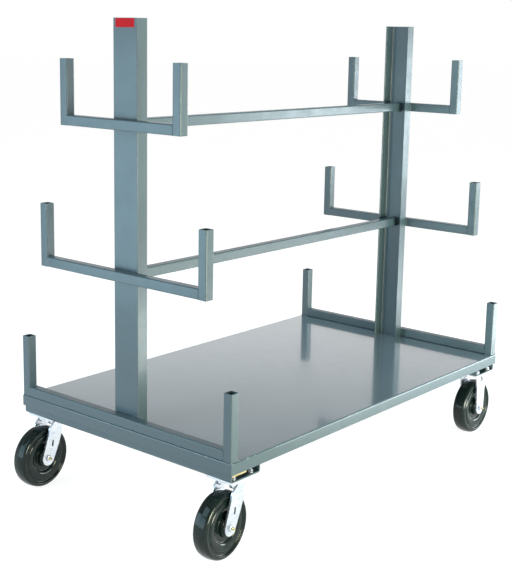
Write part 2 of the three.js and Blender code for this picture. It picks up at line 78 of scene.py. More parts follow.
# Gaps and small sizes
WELD_GAP = 0.2 * MM
SEAT_GAP = 0.3 * MM
PIN_CLEARANCE = 0.4 * MM
EDGE_BREAK = 0.4 * MM
CUT_EDGE = 0.5 * MM
OVERRUN = 5 * MM
TINY = 1e-7
SHARP_ANGLE = math.radians(30)


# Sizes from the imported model

def size_of(node):
    low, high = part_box(node)
    return high - low


def middle_of(node):
    low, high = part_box(node)
    return (low + high) / 2


def side_of(end):
    """-1 at the swivel end and 1 at the rigid end."""
    return -1 if end == "near" else 1


PLATE = size_of("caster_plate_rigid_front")
PLATE_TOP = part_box("caster_plate_rigid_front")[1].z
PLATE_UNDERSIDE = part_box("caster_plate_rigid_front")[0].z
DECK_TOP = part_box("deck_pan")[1].z
WHEEL = size_of("wheel_rigid_front")
WHEEL_WIDTH = 50.8 * MM
HUB_BORE = size_of("roller_bearing_rigid_front").x / 2 + SEAT_GAP
AXLE_HEIGHT = middle_of("wheel_rigid_front").z
TUBE = size_of("tie_bar_top").z


# What a user would change

def length_property(name, description, default):
    return FloatProperty(name=name, description=description, default=default, unit="LENGTH")


def power_property(name, description, default):
    return FloatProperty(name=name, description=description, default=default, unit="POWER")


def colour_property(name, description, default):
    return FloatVectorProperty(
        name=name, description=description, subtype="COLOR", size=3, min=0, max=1, default=default)


class CartSteelSettings(bpy.types.PropertyGroup):
    tube_wall: length_property("Tube wall", "Wall of the square tube", 0.003)
    tube_corner: length_property("Tube corner", "Outer corner radius of the square tube", 0.004)
    deck_sheet: length_property("Deck sheet", "Thickness of the deck's sheet", 0.0027)
    deck_bend: length_property("Deck bend", "Outer radius of the deck's bends", 0.005)
    channel_web: length_property("Channel web", "Web thickness of the uprights", 0.0047)
    channel_flange: length_property("Channel flange", "Mean flange thickness of the uprights", 0.0072)
    bolster_plate: length_property("Bolster plate", "Plate thickness of the bolsters", 0.0046)
    bolster_bend: length_property("Bolster bend", "Outer radius of the bolsters' bends", 0.008)
    weld_leg: length_property("Weld leg", "Leg of the fillet welds", 0.0042)
    weld_ripple: length_property("Weld ripple", "Distance between the ripples of a weld", 0.0028)
    label_width: length_property("Label width", "Width of the red label", 0.078)
    label_height: length_property("Label height", "Height of the red label", 0.026)


class CartCasterSettings(bpy.types.PropertyGroup):
    fork_plate: length_property("Fork plate", "Plate thickness of the forks", 0.00635)
    fork_gap: length_property("Fork gap", "Clear width between a fork's legs", 0.063)
    fork_bend: length_property("Fork bend", "Outer radius of the forks' bends", 0.010)
    eye_radius: length_property("Fork eye", "Radius of the round end of a fork's leg", 0.025)
    crown_drop: length_property("Crown drop", "From a swivel plate's underside to its fork's top", 0.0055)
    crown_radius: length_property("Crown radius", "Radius of a swivel fork's round crown", 0.0385)
    race_radius: length_property("Race radius", "Radius of the ring that a swivel's balls run on", 0.026)
    ball_radius: length_property("Ball radius", "Radius of a swivel's balls", 0.0031)
    shoulder_radius: length_property("Wheel shoulder", "Radius between a wheel's tread and side", 0.0115)
    rim_width: length_property("Wheel rim", "Width of the raised rim on a wheel's side", 0.015)
    dish_radius: length_property("Wheel dish", "Radius of the dish round a wheel's hub", 0.052)
    hub_radius: length_property("Wheel hub", "Radius of a wheel's hub", 0.029)
    axle_radius: length_property("Axle radius", "Radius of the axle bolts", 0.00635)
    axle_flats: length_property("Axle hexagon", "Width across flats of the axle heads and nuts", 0.019)
    bolt_spacing: length_property("Bolt spacing", "Spacing of the mounting bolts", 0.0762)
    bolt_flats: length_property("Bolt hexagon", "Width across flats of the mounting bolts", 0.0143)
    steps: IntProperty(
        name="Round steps", description="Segments of a wheel round its axle", default=128, min=32)


class CartFinishSettings(bpy.types.PropertyGroup):
    frame_paint: colour_property("Frame paint", "Enamel on the frame", (0.045, 0.075, 0.089))
    # Lighter than the frame paint: the deck's top carries painted light from above in its colour.
    deck_paint: colour_property("Deck paint", "Enamel on the deck", (0.128, 0.170, 0.200))
    zinc: colour_property("Zinc plate", "Bright zinc of the forks and plates", (0.64, 0.67, 0.71))
    steel: colour_property("Bare steel", "Ground steel of the bearings", (0.50, 0.50, 0.51))
    yellow_zinc: colour_property("Yellow zinc", "Yellow zinc of the nuts", (0.52, 0.41, 0.20))
    phenolic: colour_property("Phenolic", "Moulded resin of the wheels", (0.004, 0.009, 0.008))
    label: colour_property("Label", "Vinyl of the label", (0.40, 0.006, 0.011))


class CartStudioSettings(bpy.types.PropertyGroup):
    camera_place: FloatVectorProperty(
        name="Camera place", description="Where the camera stands", subtype="TRANSLATION", unit="LENGTH",
        default=(-2.98647, -2.40991, 1.48062))
    camera_aim: FloatVectorProperty(
        name="Camera aim", description="The point that the camera looks at", subtype="TRANSLATION",
        unit="LENGTH", default=(0.02239, 0.08730, 0.74193))
    camera_roll: FloatProperty(
        name="Camera roll", description="Turn of the camera about its line of sight", subtype="ANGLE",
        default=math.radians(1.095))
    camera_lens: FloatProperty(
        name="Camera lens", description="Focal length for a 36 mm sensor along the picture's long side",
        unit="CAMERA", default=70.72)
    camera_shift: FloatVectorProperty(
        name="Camera shift", description="Shift of the picture across and up, in widths of its long side",
        size=2, default=(-0.00685, -0.06770))
    horizon_power: FloatProperty(
        name="Horizon", description="Strength of the sky at the horizon", default=0.998)
    band_power: FloatProperty(
        name="Band", description="Strength of the sky a little above the horizon", default=1.15)
    zenith_power: FloatProperty(
        name="Zenith", description="Strength of the sky overhead", default=0.35)
    floor_glow: FloatProperty(
        name="Floor glow", description="Strength of the floor's own light", default=0.84)
    front_power: power_property("Front light", "Power of the soft box in front", 175)
    near_power: power_property("Near light", "Power of the cool soft box before the near end", 33)
    high_power: power_property("High light", "Power of the cool soft box above the near end", 19)
    right_power: power_property("Right light", "Power of the soft box on the right", 62)
    low_power: power_property("Low light", "Power of the low strip light beside the deck's front", 20)
    top_power: power_property("Top light", "Power of the soft box overhead", 60)


# Places, and turns that lay a piece made along Z onto another axis

HERE = Matrix.Identity(4)
ALONG_X = Matrix(((0, 0, 1, 0), (1, 0, 0, 0), (0, 1, 0, 0), (0, 0, 0, 1)))
ALONG_Y = Matrix(((1, 0, 0, 0), (0, 0, 1, 0), (0, -1, 0, 0), (0, 0, 0, 1)))
SIDE_ON = Matrix(((1, 0, 0, 0), (0, 0, -1, 0), (0, 1, 0, 0), (0, 0, 0, 1)))
X, Y, Z = Vector((1, 0, 0)), Vector((0, 1, 0)), Vector((0, 0, 1))


def place(x=0.0, y=0.0, z=0.0):
    return Matrix.Translation((x, y, z))


# Outlines, in the plane of their first two axes

def beside(point, across, up):
    """A point moved by millimetres."""
    return point[0] + across * MM, point[1] + up * MM


def arc(centre, radius, start, end, steps):
    """Points along an arc, both ends included; the angles are in degrees."""
    points = []
    for step in range(steps + 1):
        angle = math.radians(start + (end - start) * step / steps)
        points.append((centre[0] + radius * math.cos(angle), centre[1] + radius * math.sin(angle)))
    return points


def curve(start, control, end, steps):
    """Points along a quadratic curve, both ends included."""
    points = []
    for step in range(steps + 1):
        t = step / steps
        points.append(tuple((1 - t) ** 2 * a + 2 * t * (1 - t) * b + t * t * c
                            for a, b, c in zip(start, control, end)))
    return points


def rounded_rectangle(width, height, radius, steps=6):
    x, y = width / 2 - radius, height / 2 - radius
    return (arc((x, y), radius, 0, 90, steps) + arc((-x, y), radius, 90, 180, steps)
            + arc((-x, -y), radius, 180, 270, steps) + arc((x, -y), radius, 270, 360, steps))


def touch_angle(point, centre, radius, turn):
    """Where a line from a point touches a circle, as an angle in degrees at its centre."""
    dx, dy = point[0] - centre[0], point[1] - centre[1]
    return math.degrees(math.atan2(dy, dx) + turn * math.acos(radius / math.hypot(dx, dy)))


def round_eye(tail, nose, eye, radius, steps=28):
    """The round end of a leg, from the side that starts at tail to the one that starts at nose."""
    start = touch_angle(tail, eye, radius, 1)
    end = touch_angle(nose, eye, radius, -1)
    if end < start:
        end += 360
    return arc(eye, radius, start, end, steps)


# Meshes

def mesh_of(bm):
    mesh = bpy.data.meshes.new("part")
    bmesh.ops.recalc_face_normals(bm, faces=bm.faces)
    bm.to_mesh(mesh)
    bm.free()
    return mesh


def skin_rings(bm, rings):
    """Joins each ring of corners to the next with faces."""
    for low, high in zip(rings, rings[1:]):
        for i in range(len(low)):
            j = (i + 1) % len(low)
            bm.faces.new((low[i], low[j], high[j], high[i]))


def loft(loops, closed=False):
    """Skins a row of loops; a closed row joins its last loop to its first, and others get end caps."""
    bm = bmesh.new()
    rings = [[bm.verts.new(point) for point in loop] for loop in loops]
    if closed:
        rings.append(rings[0])
    skin_rings(bm, rings)
    if not closed:
        bm.faces.new(list(reversed(rings[0])))
        bm.faces.new(rings[-1])
    return mesh_of(bm)


def prism(outline, low, high):
    """An outline raised along Z."""
    return loft([[(x, y, z) for x, y in outline] for z in (low, high)])


def lathe(profile, steps, closed=True):
    """Turns a profile of radius and height about Z; it is closed, or starts and ends on the axis."""
    bm = bmesh.new()
    rings = []
    for radius, height in profile:
        count = 1 if radius < TINY else steps
        turn = [math.tau * k / steps for k in range(count)]
        rings.append([bm.verts.new((radius * math.cos(a), radius * math.sin(a), height)) for a in turn])
    pairs = list(zip(rings, rings[1:]))
    if closed:
        pairs.append((rings[-1], rings[0]))
    for low, high in pairs:
        for k in range(steps):
            m = (k + 1) % steps
            corners = [low[k % len(low)], low[m % len(low)], high[m % len(high)], high[k % len(high)]]
            distinct = list(dict.fromkeys(corners))
            if len(distinct) > 2:
                bm.faces.new(distinct)
    return mesh_of(bm)


def moved(mesh, matrix):
    mesh.transform(matrix)
    return mesh


def gathered(*meshes, places=(HERE,)):
    """One mesh from copies of the meshes at each place."""
    bm = bmesh.new()
    for place_of_copy in places:
        for mesh in meshes:
            copy = mesh.copy()
            copy.transform(place_of_copy)
            bm.from_mesh(copy)
            bpy.data.meshes.remove(copy)
    return mesh_of(bm)


def applied(mesh, kind, **values):
    """The mesh with one modifier applied."""
    holder = bpy.data.objects.new("holder", mesh)
    bpy.context.scene.collection.objects.link(holder)
    modifier = holder.modifiers.new("step", kind)
    for key, value in values.items():
        setattr(modifier, key, value)
    shown = holder.evaluated_get(bpy.context.evaluated_depsgraph_get())
    result = bpy.data.meshes.new_from_object(shown)
    bpy.data.objects.remove(holder)
    return result


def combined(mesh, operation, *tools):
    """The mesh cut by, joined to or met with each tool mesh."""
    for tool in tools:
        holder = bpy.data.objects.new("tool", tool)
        bpy.context.scene.collection.objects.link(holder)
        mesh = applied(mesh, "BOOLEAN", operation=operation, object=holder, solver="EXACT")
        bpy.data.objects.remove(holder)
    return mesh


def eased(mesh, width=CUT_EDGE, degrees=40, segments=2):
    """The mesh with its sharp edges rounded."""
    return applied(mesh, "BEVEL", width=width, segments=segments, limit_method="ANGLE",
                   angle_limit=math.radians(degrees), use_clamp_overlap=True, harden_normals=False)


def broken_edges(mesh):
    """The mesh with a narrow chamfer on its square edges."""
    return applied(mesh, "BEVEL", width=EDGE_BREAK, segments=1, limit_method="ANGLE",
                   angle_limit=math.radians(60), use_clamp_overlap=True)


# Pieces

def mark_wear_and_sheen(mesh):
    """Marks the narrow faces of turned edges, which the paint reads to wear them and to paint a highlight
    on them.
    """
    bm = bmesh.new()
    bm.from_mesh(mesh)
    turned_from, turned_full, narrow = math.radians(9), math.radians(16), 3 * MM
    wear = []
    for face in bm.faces:
        turn = max(edge.calc_face_angle_signed(0.0) if edge.is_manifold else 0.0 for edge in face.edges)
        width = face.calc_area() / max(TINY, *(edge.calc_length() for edge in face.edges))
        amount = (turn - turned_from) / (turned_full - turned_from)
        wear.append(min(1.0, max(0.0, amount)) if width < narrow else 0.0)
    bm.free()
    mesh.attributes.new("wear", "FLOAT", "FACE").data.foreach_set("value", wear)


def add_piece(name, mesh, body, slot, at, *replaces, finish=None):
    """Links a mesh as a piece that rides on a body, in its slot's finish or another one."""
    mesh.name = name
    mesh.transform(at)
    mark_wear_and_sheen(mesh)
    mesh.shade_smooth()
    mesh.set_sharp_from_angle(angle=SHARP_ANGLE)
    mesh.materials.clear()
    mesh.materials.append(finish_of(finish or slot))
    piece = bpy.data.objects.new(name, mesh)
    bpy.context.scene.collection.objects.link(piece)
    even = piece.modifiers.new("even shading", "WEIGHTED_NORMAL")
    even.keep_sharp = True
    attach(piece, body)
    if replaces:
        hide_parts(*replaces)


# Finishes

class Finish:
    """A node material, built one node at a time."""

    def __init__(self, name, colour, roughness, metallic=0.0):
        self.material = bpy.data.materials.new(name)
        self.material.use_nodes = True
        self.tree = self.material.node_tree
        self.shader = self.tree.nodes["Principled BSDF"]
        self.colour = (*colour, 1)
        self.shader.inputs["Base Color"].default_value = self.colour
        self.shader.inputs["Roughness"].default_value = roughness
        self.shader.inputs["Metallic"].default_value = metallic
        self.material.diffuse_color = self.colour
        self.place = self.node("ShaderNodeTexCoord").outputs["Object"]
        self.height = None

    def node(self, kind, **values):
        made = self.tree.nodes.new(kind)
        for key, value in values.items():
            setattr(made, key, value)
        return made

    def link(self, source, target):
        self.tree.links.new(source, target)

    def feed(self, socket, value):
        if isinstance(value, (int, float, tuple)):
            socket.default_value = value
        else:
            self.link(value, socket)

    def stretched(self, scale):
        """The place, scaled by a different amount along each axis."""
        mapping = self.node("ShaderNodeMapping")
        mapping.inputs["Scale"].default_value = scale
        self.link(self.place, mapping.inputs["Vector"])
        return mapping.outputs["Vector"]

    def noise(self, scale, detail=2.0, rough=0.5, vector=None):
        texture = self.node("ShaderNodeTexNoise")
        texture.inputs["Scale"].default_value = scale
        texture.inputs["Detail"].default_value = detail
        texture.inputs["Roughness"].default_value = rough
        self.link(vector or self.place, texture.inputs["Vector"])
        return texture.outputs["Fac"]

    def flecks(self, scale, size):
        """1 inside small round flecks and 0 elsewhere."""
        texture = self.node("ShaderNodeTexVoronoi")
        texture.inputs["Scale"].default_value = scale
        self.link(self.place, texture.inputs["Vector"])
        return self.ramp(texture.outputs["Distance"], size, size * 0.4)

    def ramp(self, value, low, high, to_low=0.0, to_high=1.0):
        """Maps a value from one range to another, with soft ends."""
        made = self.node("ShaderNodeMapRange", interpolation_type="SMOOTHSTEP")
        self.link(value, made.inputs["Value"])
        if low < high:
            made.inputs["From Min"].default_value = low
            made.inputs["From Max"].default_value = high
            made.inputs["To Min"].default_value = to_low
            made.inputs["To Max"].default_value = to_high
        else:
            made.inputs["From Min"].default_value = high
            made.inputs["From Max"].default_value = low
            made.inputs["To Min"].default_value = to_high
            made.inputs["To Max"].default_value = to_low
        return made.outputs["Result"]

    def sum_of(self, *values, operation="ADD"):
        total = values[0]
        for value in values[1:]:
            made = self.node("ShaderNodeMath", operation=operation)
            self.feed(made.inputs[0], total)
            self.feed(made.inputs[1], value)
            total = made.outputs[0]
        return total

    def product_of(self, *values):
        return self.sum_of(*values, operation="MULTIPLY")

    def tint(self, colour, amount):
        """Lays another colour over what the base colour has so far."""
        mix = self.node("ShaderNodeMix", data_type="RGBA")
        socket = self.shader.inputs["Base Color"]
        self.feed(mix.inputs["Factor"], amount)
        if socket.is_linked:
            self.link(socket.links[0].from_socket, mix.inputs[6])
        else:
            mix.inputs[6].default_value = self.colour
        mix.inputs[7].default_value = (*colour, 1)
        self.link(mix.outputs[2], socket)

    def roughen(self, value):
        self.link(value, self.shader.inputs["Roughness"])

    def relief(self, value, depth):
        """Adds bumps of a depth in metres."""
        bump = self.node("ShaderNodeBump")
        bump.inputs["Strength"].default_value = 1.0
        bump.inputs["Distance"].default_value = depth
        self.link(value, bump.inputs["Height"])
        if self.height is not None:
            self.link(self.height, bump.inputs["Normal"])
        self.height = bump.outputs["Normal"]
        self.link(self.height, self.shader.inputs["Normal"])

    def upward(self):
        """How far the surface faces up, from -1 to 1."""
        axes = self.node("ShaderNodeSeparateXYZ")
        self.link(self.node("ShaderNodeTexCoord").outputs["Normal"], axes.inputs[0])
        return axes.outputs["Z"]

    def attribute(self, name):
        return self.node("ShaderNodeAttribute", attribute_name=name).outputs["Fac"]


def shaded(colour, share):
    return tuple(min(1.0, channel * share) for channel in colour)


def make_enamel(name, colour, smooth, rough, gloss, edge=None):
    """Air-dried enamel over steel: a soft mottle, orange peel, dust specks, rubbed edges lightened partly
    by wear and partly as a painted highlight, and, given an edge colour, a top painted lighter than the
    sides.
    """
    enamel = Finish(name, colour, smooth)
    if edge is None:
        enamel.shader.inputs["Coat Weight"].default_value = gloss
    else:
        glossy_top = enamel.ramp(enamel.upward(), 0.86, 0.98, 0.2, gloss)
        enamel.link(glossy_top, enamel.shader.inputs["Coat Weight"])
    enamel.shader.inputs["Coat Roughness"].default_value = 0.45 * smooth
    enamel.shader.inputs["Coat IOR"].default_value = 1.5 + 0.25 * gloss
    enamel.tint(shaded(colour, 0.93), enamel.ramp(enamel.noise(5.0, 3), 0.42, 0.68))
    enamel.tint(shaded(colour, 1.06), enamel.ramp(enamel.noise(38.0, 4, 0.6), 0.5, 0.75, 0.0, 0.7))
    enamel.tint(shaded(colour, 0.8), enamel.product_of(enamel.flecks(420.0, 0.12), 0.3))
    # Painted light: faces that do not face up get the darker edge colour, so the deck's top reads lighter
    # than its lip and sides though one paint covers them.
    if edge is not None:
        enamel.tint(edge, enamel.ramp(enamel.upward(), 0.95, 0.75))
    # Turned edges painted lighter in patches: partly rubbed wear, partly a painted highlight.
    rubbed_and_sheen = enamel.product_of(enamel.attribute("wear"), enamel.ramp(enamel.noise(55.0, 5, 0.7), 0.55, 0.7))
    enamel.tint(shaded(colour, 1.8), enamel.product_of(rubbed_and_sheen, 0.5))
    enamel.roughen(enamel.ramp(enamel.noise(22.0, 4, 0.6), 0.3, 0.75, smooth, rough))
    enamel.relief(enamel.noise(26.0, 2), 0.06 * MM)
    enamel.relief(enamel.noise(620.0, 2), 0.010 * MM)
    return enamel.material


def make_zinc(name, colour, sheen):
    """Bright zinc plate: a faint blue and straw cast, rolled streaks and fine grain."""
    zinc = Finish(name, colour, 0.3, metallic=1.0)
    zinc.tint(sheen, zinc.ramp(zinc.noise(24.0, 3), 0.4, 0.7, 0.0, 0.8))
    zinc.tint(shaded(colour, 0.72), zinc.ramp(zinc.noise(90.0, 5, 0.7), 0.56, 0.78, 0.0, 0.55))
    streaks = zinc.noise(40.0, 3, 0.6, zinc.stretched((1, 1, 14)))
    zinc.roughen(zinc.ramp(streaks, 0.3, 0.7, 0.26, 0.44))
    zinc.relief(zinc.noise(140.0, 4, 0.6), 0.04 * MM)
    zinc.relief(zinc.noise(900.0, 2), 0.008 * MM)
    return zinc.material


def make_steel(name, colour):
    """Ground steel with fine rings of tool marks and an oily darkening."""
    steel = Finish(name, colour, 0.3, metallic=1.0)
    steel.tint(shaded(colour, 0.45), steel.ramp(steel.noise(60.0, 4, 0.6), 0.5, 0.8, 0.0, 0.8))
    steel.roughen(steel.ramp(steel.noise(200.0, 3), 0.3, 0.7, 0.22, 0.4))
    steel.relief(steel.noise(700.0, 2), 0.012 * MM)
    return steel.material


def make_phenolic(name, colour):
    """Moulded phenolic: a glossy skin over cloth-filled resin, with flow marks and pale flecks."""
    resin = Finish(name, colour, 0.14)
    resin.shader.inputs["Specular IOR Level"].default_value = 0.28
    resin.tint(shaded(colour, 2.2), resin.ramp(resin.noise(30.0, 4, 0.65), 0.45, 0.75, 0.0, 0.8))
    resin.tint((0.030, 0.034, 0.030), resin.product_of(resin.flecks(240.0, 0.16), 0.3))
    resin.roughen(resin.ramp(resin.noise(45.0, 4, 0.6), 0.3, 0.75, 0.08, 0.13))
    resin.relief(resin.noise(60.0, 3), 0.05 * MM)
    resin.relief(resin.noise(420.0, 3), 0.008 * MM)
    return resin.material


def make_vinyl(name, colour):
    """Printed vinyl: an even colour, a slight ripple and a satin face."""
    vinyl = Finish(name, colour, 0.4)
    vinyl.shader.inputs["Specular IOR Level"].default_value = 0.08
    vinyl.tint(shaded(colour, 0.8), vinyl.ramp(vinyl.noise(70.0, 3), 0.45, 0.75, 0.0, 0.6))
    vinyl.roughen(vinyl.ramp(vinyl.noise(160.0, 3), 0.3, 0.7, 0.35, 0.48))
    vinyl.relief(vinyl.noise(60.0, 2), 0.05 * MM)
    return vinyl.material


def make_finishes(settings):
    blue_cast, straw_cast = (0.56, 0.61, 0.70), (0.60, 0.52, 0.30)
    frame_paint, deck_paint = settings.frame_paint, settings.deck_paint
    return {
        "frame_paint": make_enamel("frame enamel", frame_paint, 0.33, 0.43, 0.2),
        # The deck's top gets the lighter deck colour and its lip and sides the frame colour: painted light
        # from above.
        "deck_paint": make_enamel("deck enamel", deck_paint, 0.18, 0.24, 1.0, frame_paint),
        "zinc": make_zinc("bright zinc", settings.zinc, blue_cast),
        "yellow_zinc": make_zinc("yellow zinc", settings.yellow_zinc, straw_cast),
        "bearing_steel": make_steel("ground steel", settings.steel),
        "phenolic": make_phenolic("moulded phenolic", settings.phenolic),
        "label": make_vinyl("red vinyl", settings.label),
    }


FINISHES = {}


def finish_of(slot):
    if not FINISHES:
        FINISHES.update(make_finishes(bpy.context.scene.cart_finish))
    return FINISHES[slot]


def add_painted(name, mesh, at, *replaces):
    add_piece(name, mesh, "frame", "frame_paint", at, *replaces)


# Sheet metal and stock

def deck_mesh(settings):
    """The folded pan: nested loops run up the outside, over the bends, and back down the inside."""
    low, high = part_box("deck_pan")
    half = (high - low) / 2
    rim, steps = EDGE_BREAK, 6
    loops = []

    def rectangle(inset, z):
        x, y = half.x - inset, half.y - inset
        loops.append([(x, y, z), (-x, y, z), (-x, -y, z), (x, -y, z)])

    def skin(offset, upwards):
        radius = settings.deck_bend - offset
        heights = []
        for step in range(steps + 1):
            angle = math.pi / 2 * step / steps
            inset = offset + radius * (1 - math.cos(angle))
            heights.append((inset, high.z - settings.deck_bend + radius * math.sin(angle)))
        for inset, z in heights if upwards else reversed(heights):
            rectangle(inset, z)

    rectangle(rim, low.z)
    rectangle(0, low.z + rim)
    skin(0, True)
    outer = len(loops)
    skin(settings.deck_sheet, False)
    rectangle(settings.deck_sheet, low.z + rim)
    rectangle(settings.deck_sheet + rim, low.z)
    bm = bmesh.new()
    rings = [[bm.verts.new(point) for point in loop] for loop in loops]
    skin_rings(bm, rings[:outer])
    skin_rings(bm, rings[outer:] + rings[:1])
    bm.faces.new(rings[outer - 1])
    bm.faces.new(list(reversed(rings[outer])))
    return mesh_of(bm)


def channel_outline(settings, depth, flange):
    """Rolled channel: tapered flanges with round toes and roots; the web's face is on the Y axis."""
    half, web = depth / 2, settings.channel_web
    toe_radius, root_radius, edge_radius = 3 * MM, 8 * MM, 2.5 * MM
    mean, one_in = (web + flange) / 2, 6

    def inside(reach):
        return half - settings.channel_flange - (mean - reach) / one_in

    root, toe = web + root_radius, flange - toe_radius
    upper = curve((web, inside(web) - root_radius), (web, inside(web)), (root, inside(root)), 8)
    upper += curve((toe, inside(toe)), (flange, inside(flange)), (flange, inside(flange) + toe_radius), 6)
    upper += arc((flange - CUT_EDGE, half - CUT_EDGE), CUT_EDGE, 0, 90, 2)
    upper += arc((edge_radius, half - edge_radius), edge_radius, 90, 180, 6)
    lower = [(x, -y) for x, y in reversed(upper)]
    return lower + upper


def upright_mesh(settings, end):
    size = size_of(f"upright_{end}")
    mesh = broken_edges(prism(channel_outline(settings, size.y, size.x), 0, size.z))
    if end == "far":
        mesh.transform(Matrix.Rotation(math.pi, 4, "Z"))
    return mesh


def tube_mesh(settings, length):
    """Square tube along Z, centred on its length, with sawn ends."""
    wall, corner = settings.tube_wall, settings.tube_corner
    least_bore, edge = 0.6 * MM, 0.35 * MM
    bore, half = max(corner - wall, least_bore), length / 2

    def ring(inset, radius, z):
        side = TUBE - 2 * inset
        return [(x, y, z) for x, y in rounded_rectangle(side, side, radius)]

    return loft([
        ring(edge, corner - edge, -half),
        ring(0, corner, edge - half),
        ring(0, corner, half - edge),
        ring(edge, corner - edge, half),
        ring(wall - edge, bore + edge, half),
        ring(wall, bore, half - edge),
        ring(wall, bore, edge - half),
        ring(wall - edge, bore + edge, -half),
    ], closed=True)


def bolster_mesh(settings, end):
    """A folded channel, flanges up, along Y."""
    node = f"bolster_{end}"
    size = size_of(node)
    bottom = PLATE_TOP + WELD_GAP
    height = DECK_TOP - settings.deck_sheet - WELD_GAP - bottom
    half, plate, bend = size.x / 2, settings.bolster_plate, settings.bolster_bend
    inner = bend - plate
    outline = [(-half, height)] + arc((bend - half, bend), bend, 180, 270, 8)
    outline += arc((half - bend, bend), bend, 270, 360, 8) + [(half, height), (half - plate, height)]
    outline += arc((half - bend, bend), inner, 0, -90, 8) + arc((bend - half, bend), inner, -90, -180, 8)
    outline += [(plate - half, height)]
    mesh = broken_edges(moved(prism(outline, -size.y / 2, size.y / 2), SIDE_ON))
    centre = middle_of(node)
    return moved(mesh, place(centre.x, centre.y, bottom))


def stiffener_mesh():
    """A folded hat section along X, its corners rounded by the folding."""
    low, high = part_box("deck_stiffener")
    size = high - low
    sheet, foot, bend = 3.4 * MM, 19 * MM, 1.2 * MM
    half, depth = size.y / 2 - foot, size.z
    outline = [(-half - foot, 0), (-half - foot, -sheet), (-half, -sheet), (-half, -depth), (half, -depth),
               (half, -sheet), (half + foot, -sheet), (half + foot, 0), (half - sheet, 0),
               (half - sheet, sheet - depth), (sheet - half, sheet - depth), (sheet - half, 0)]
    mesh = eased(moved(prism(outline, low.x, high.x), ALONG_X), bend, 50, 3)
    return moved(mesh, place(0, middle_of("deck_stiffener").y, high.z))


class CART_OT_deck(bpy.types.Operator):
    """Makes the deck pan, its stiffener and the two bolsters"""

    bl_idname = "cart.deck"
    bl_label = "Deck and Bolsters"

    def execute(self, context):
        settings = context.scene.cart_steel
        centre = middle_of("deck_pan")
        add_piece("deck", deck_mesh(settings), "frame", "deck_paint", place(centre.x, centre.y), "deck_pan")
        add_painted("deck_rib", stiffener_mesh(), HERE, "deck_stiffener")
        for end in ENDS:
            add_painted(f"bolster_channel_{end}", bolster_mesh(settings, end), HERE, f"bolster_{end}")
        return {"FINISHED"}


class CART_OT_uprights(bpy.types.Operator):
    """Makes the two rolled channel uprights"""

    bl_idname = "cart.uprights"
    bl_label = "Uprights"

    def execute(self, context):
        for end in ENDS:
            low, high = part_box(f"upright_{end}")
            web_face = low.x if end == "near" else high.x
            mesh = upright_mesh(context.scene.cart_steel, end)
            at = place(web_face, (low.y + high.y) / 2, low.z)
            add_painted(f"upright_channel_{end}", mesh, at, f"upright_{end}")
        return {"FINISHED"}


class CART_OT_tubes(bpy.types.Operator):
    """Makes the arms, their end posts and the tie bars from square tube"""

    bl_idname = "cart.tubes"
    bl_label = "Arms, Posts and Tie Bars"

    def execute(self, context):
        for end in ENDS:
            for level in LEVELS:
                self.add_tube(context, f"arm_{end}_{level}", f"cross_tube_{end}_{level}", 1)
                for flank in FLANKS:
                    name = f"{end}_{level}_{flank}"
                    self.add_tube(context, f"end_post_{name}", f"post_{name}", 2)
        for level in LEVELS[1:]:
            self.add_tube(context, f"tie_{level}", f"tie_bar_{level}", 0)
        return {"FINISHED"}

    def add_tube(self, context, name, node, axis):
        size = size_of(node)
        mesh = moved(tube_mesh(context.scene.cart_steel, size[axis]), (ALONG_X, ALONG_Y, HERE)[axis])
        add_painted(name, mesh, Matrix.Translation(middle_of(node)), node)


# Welds

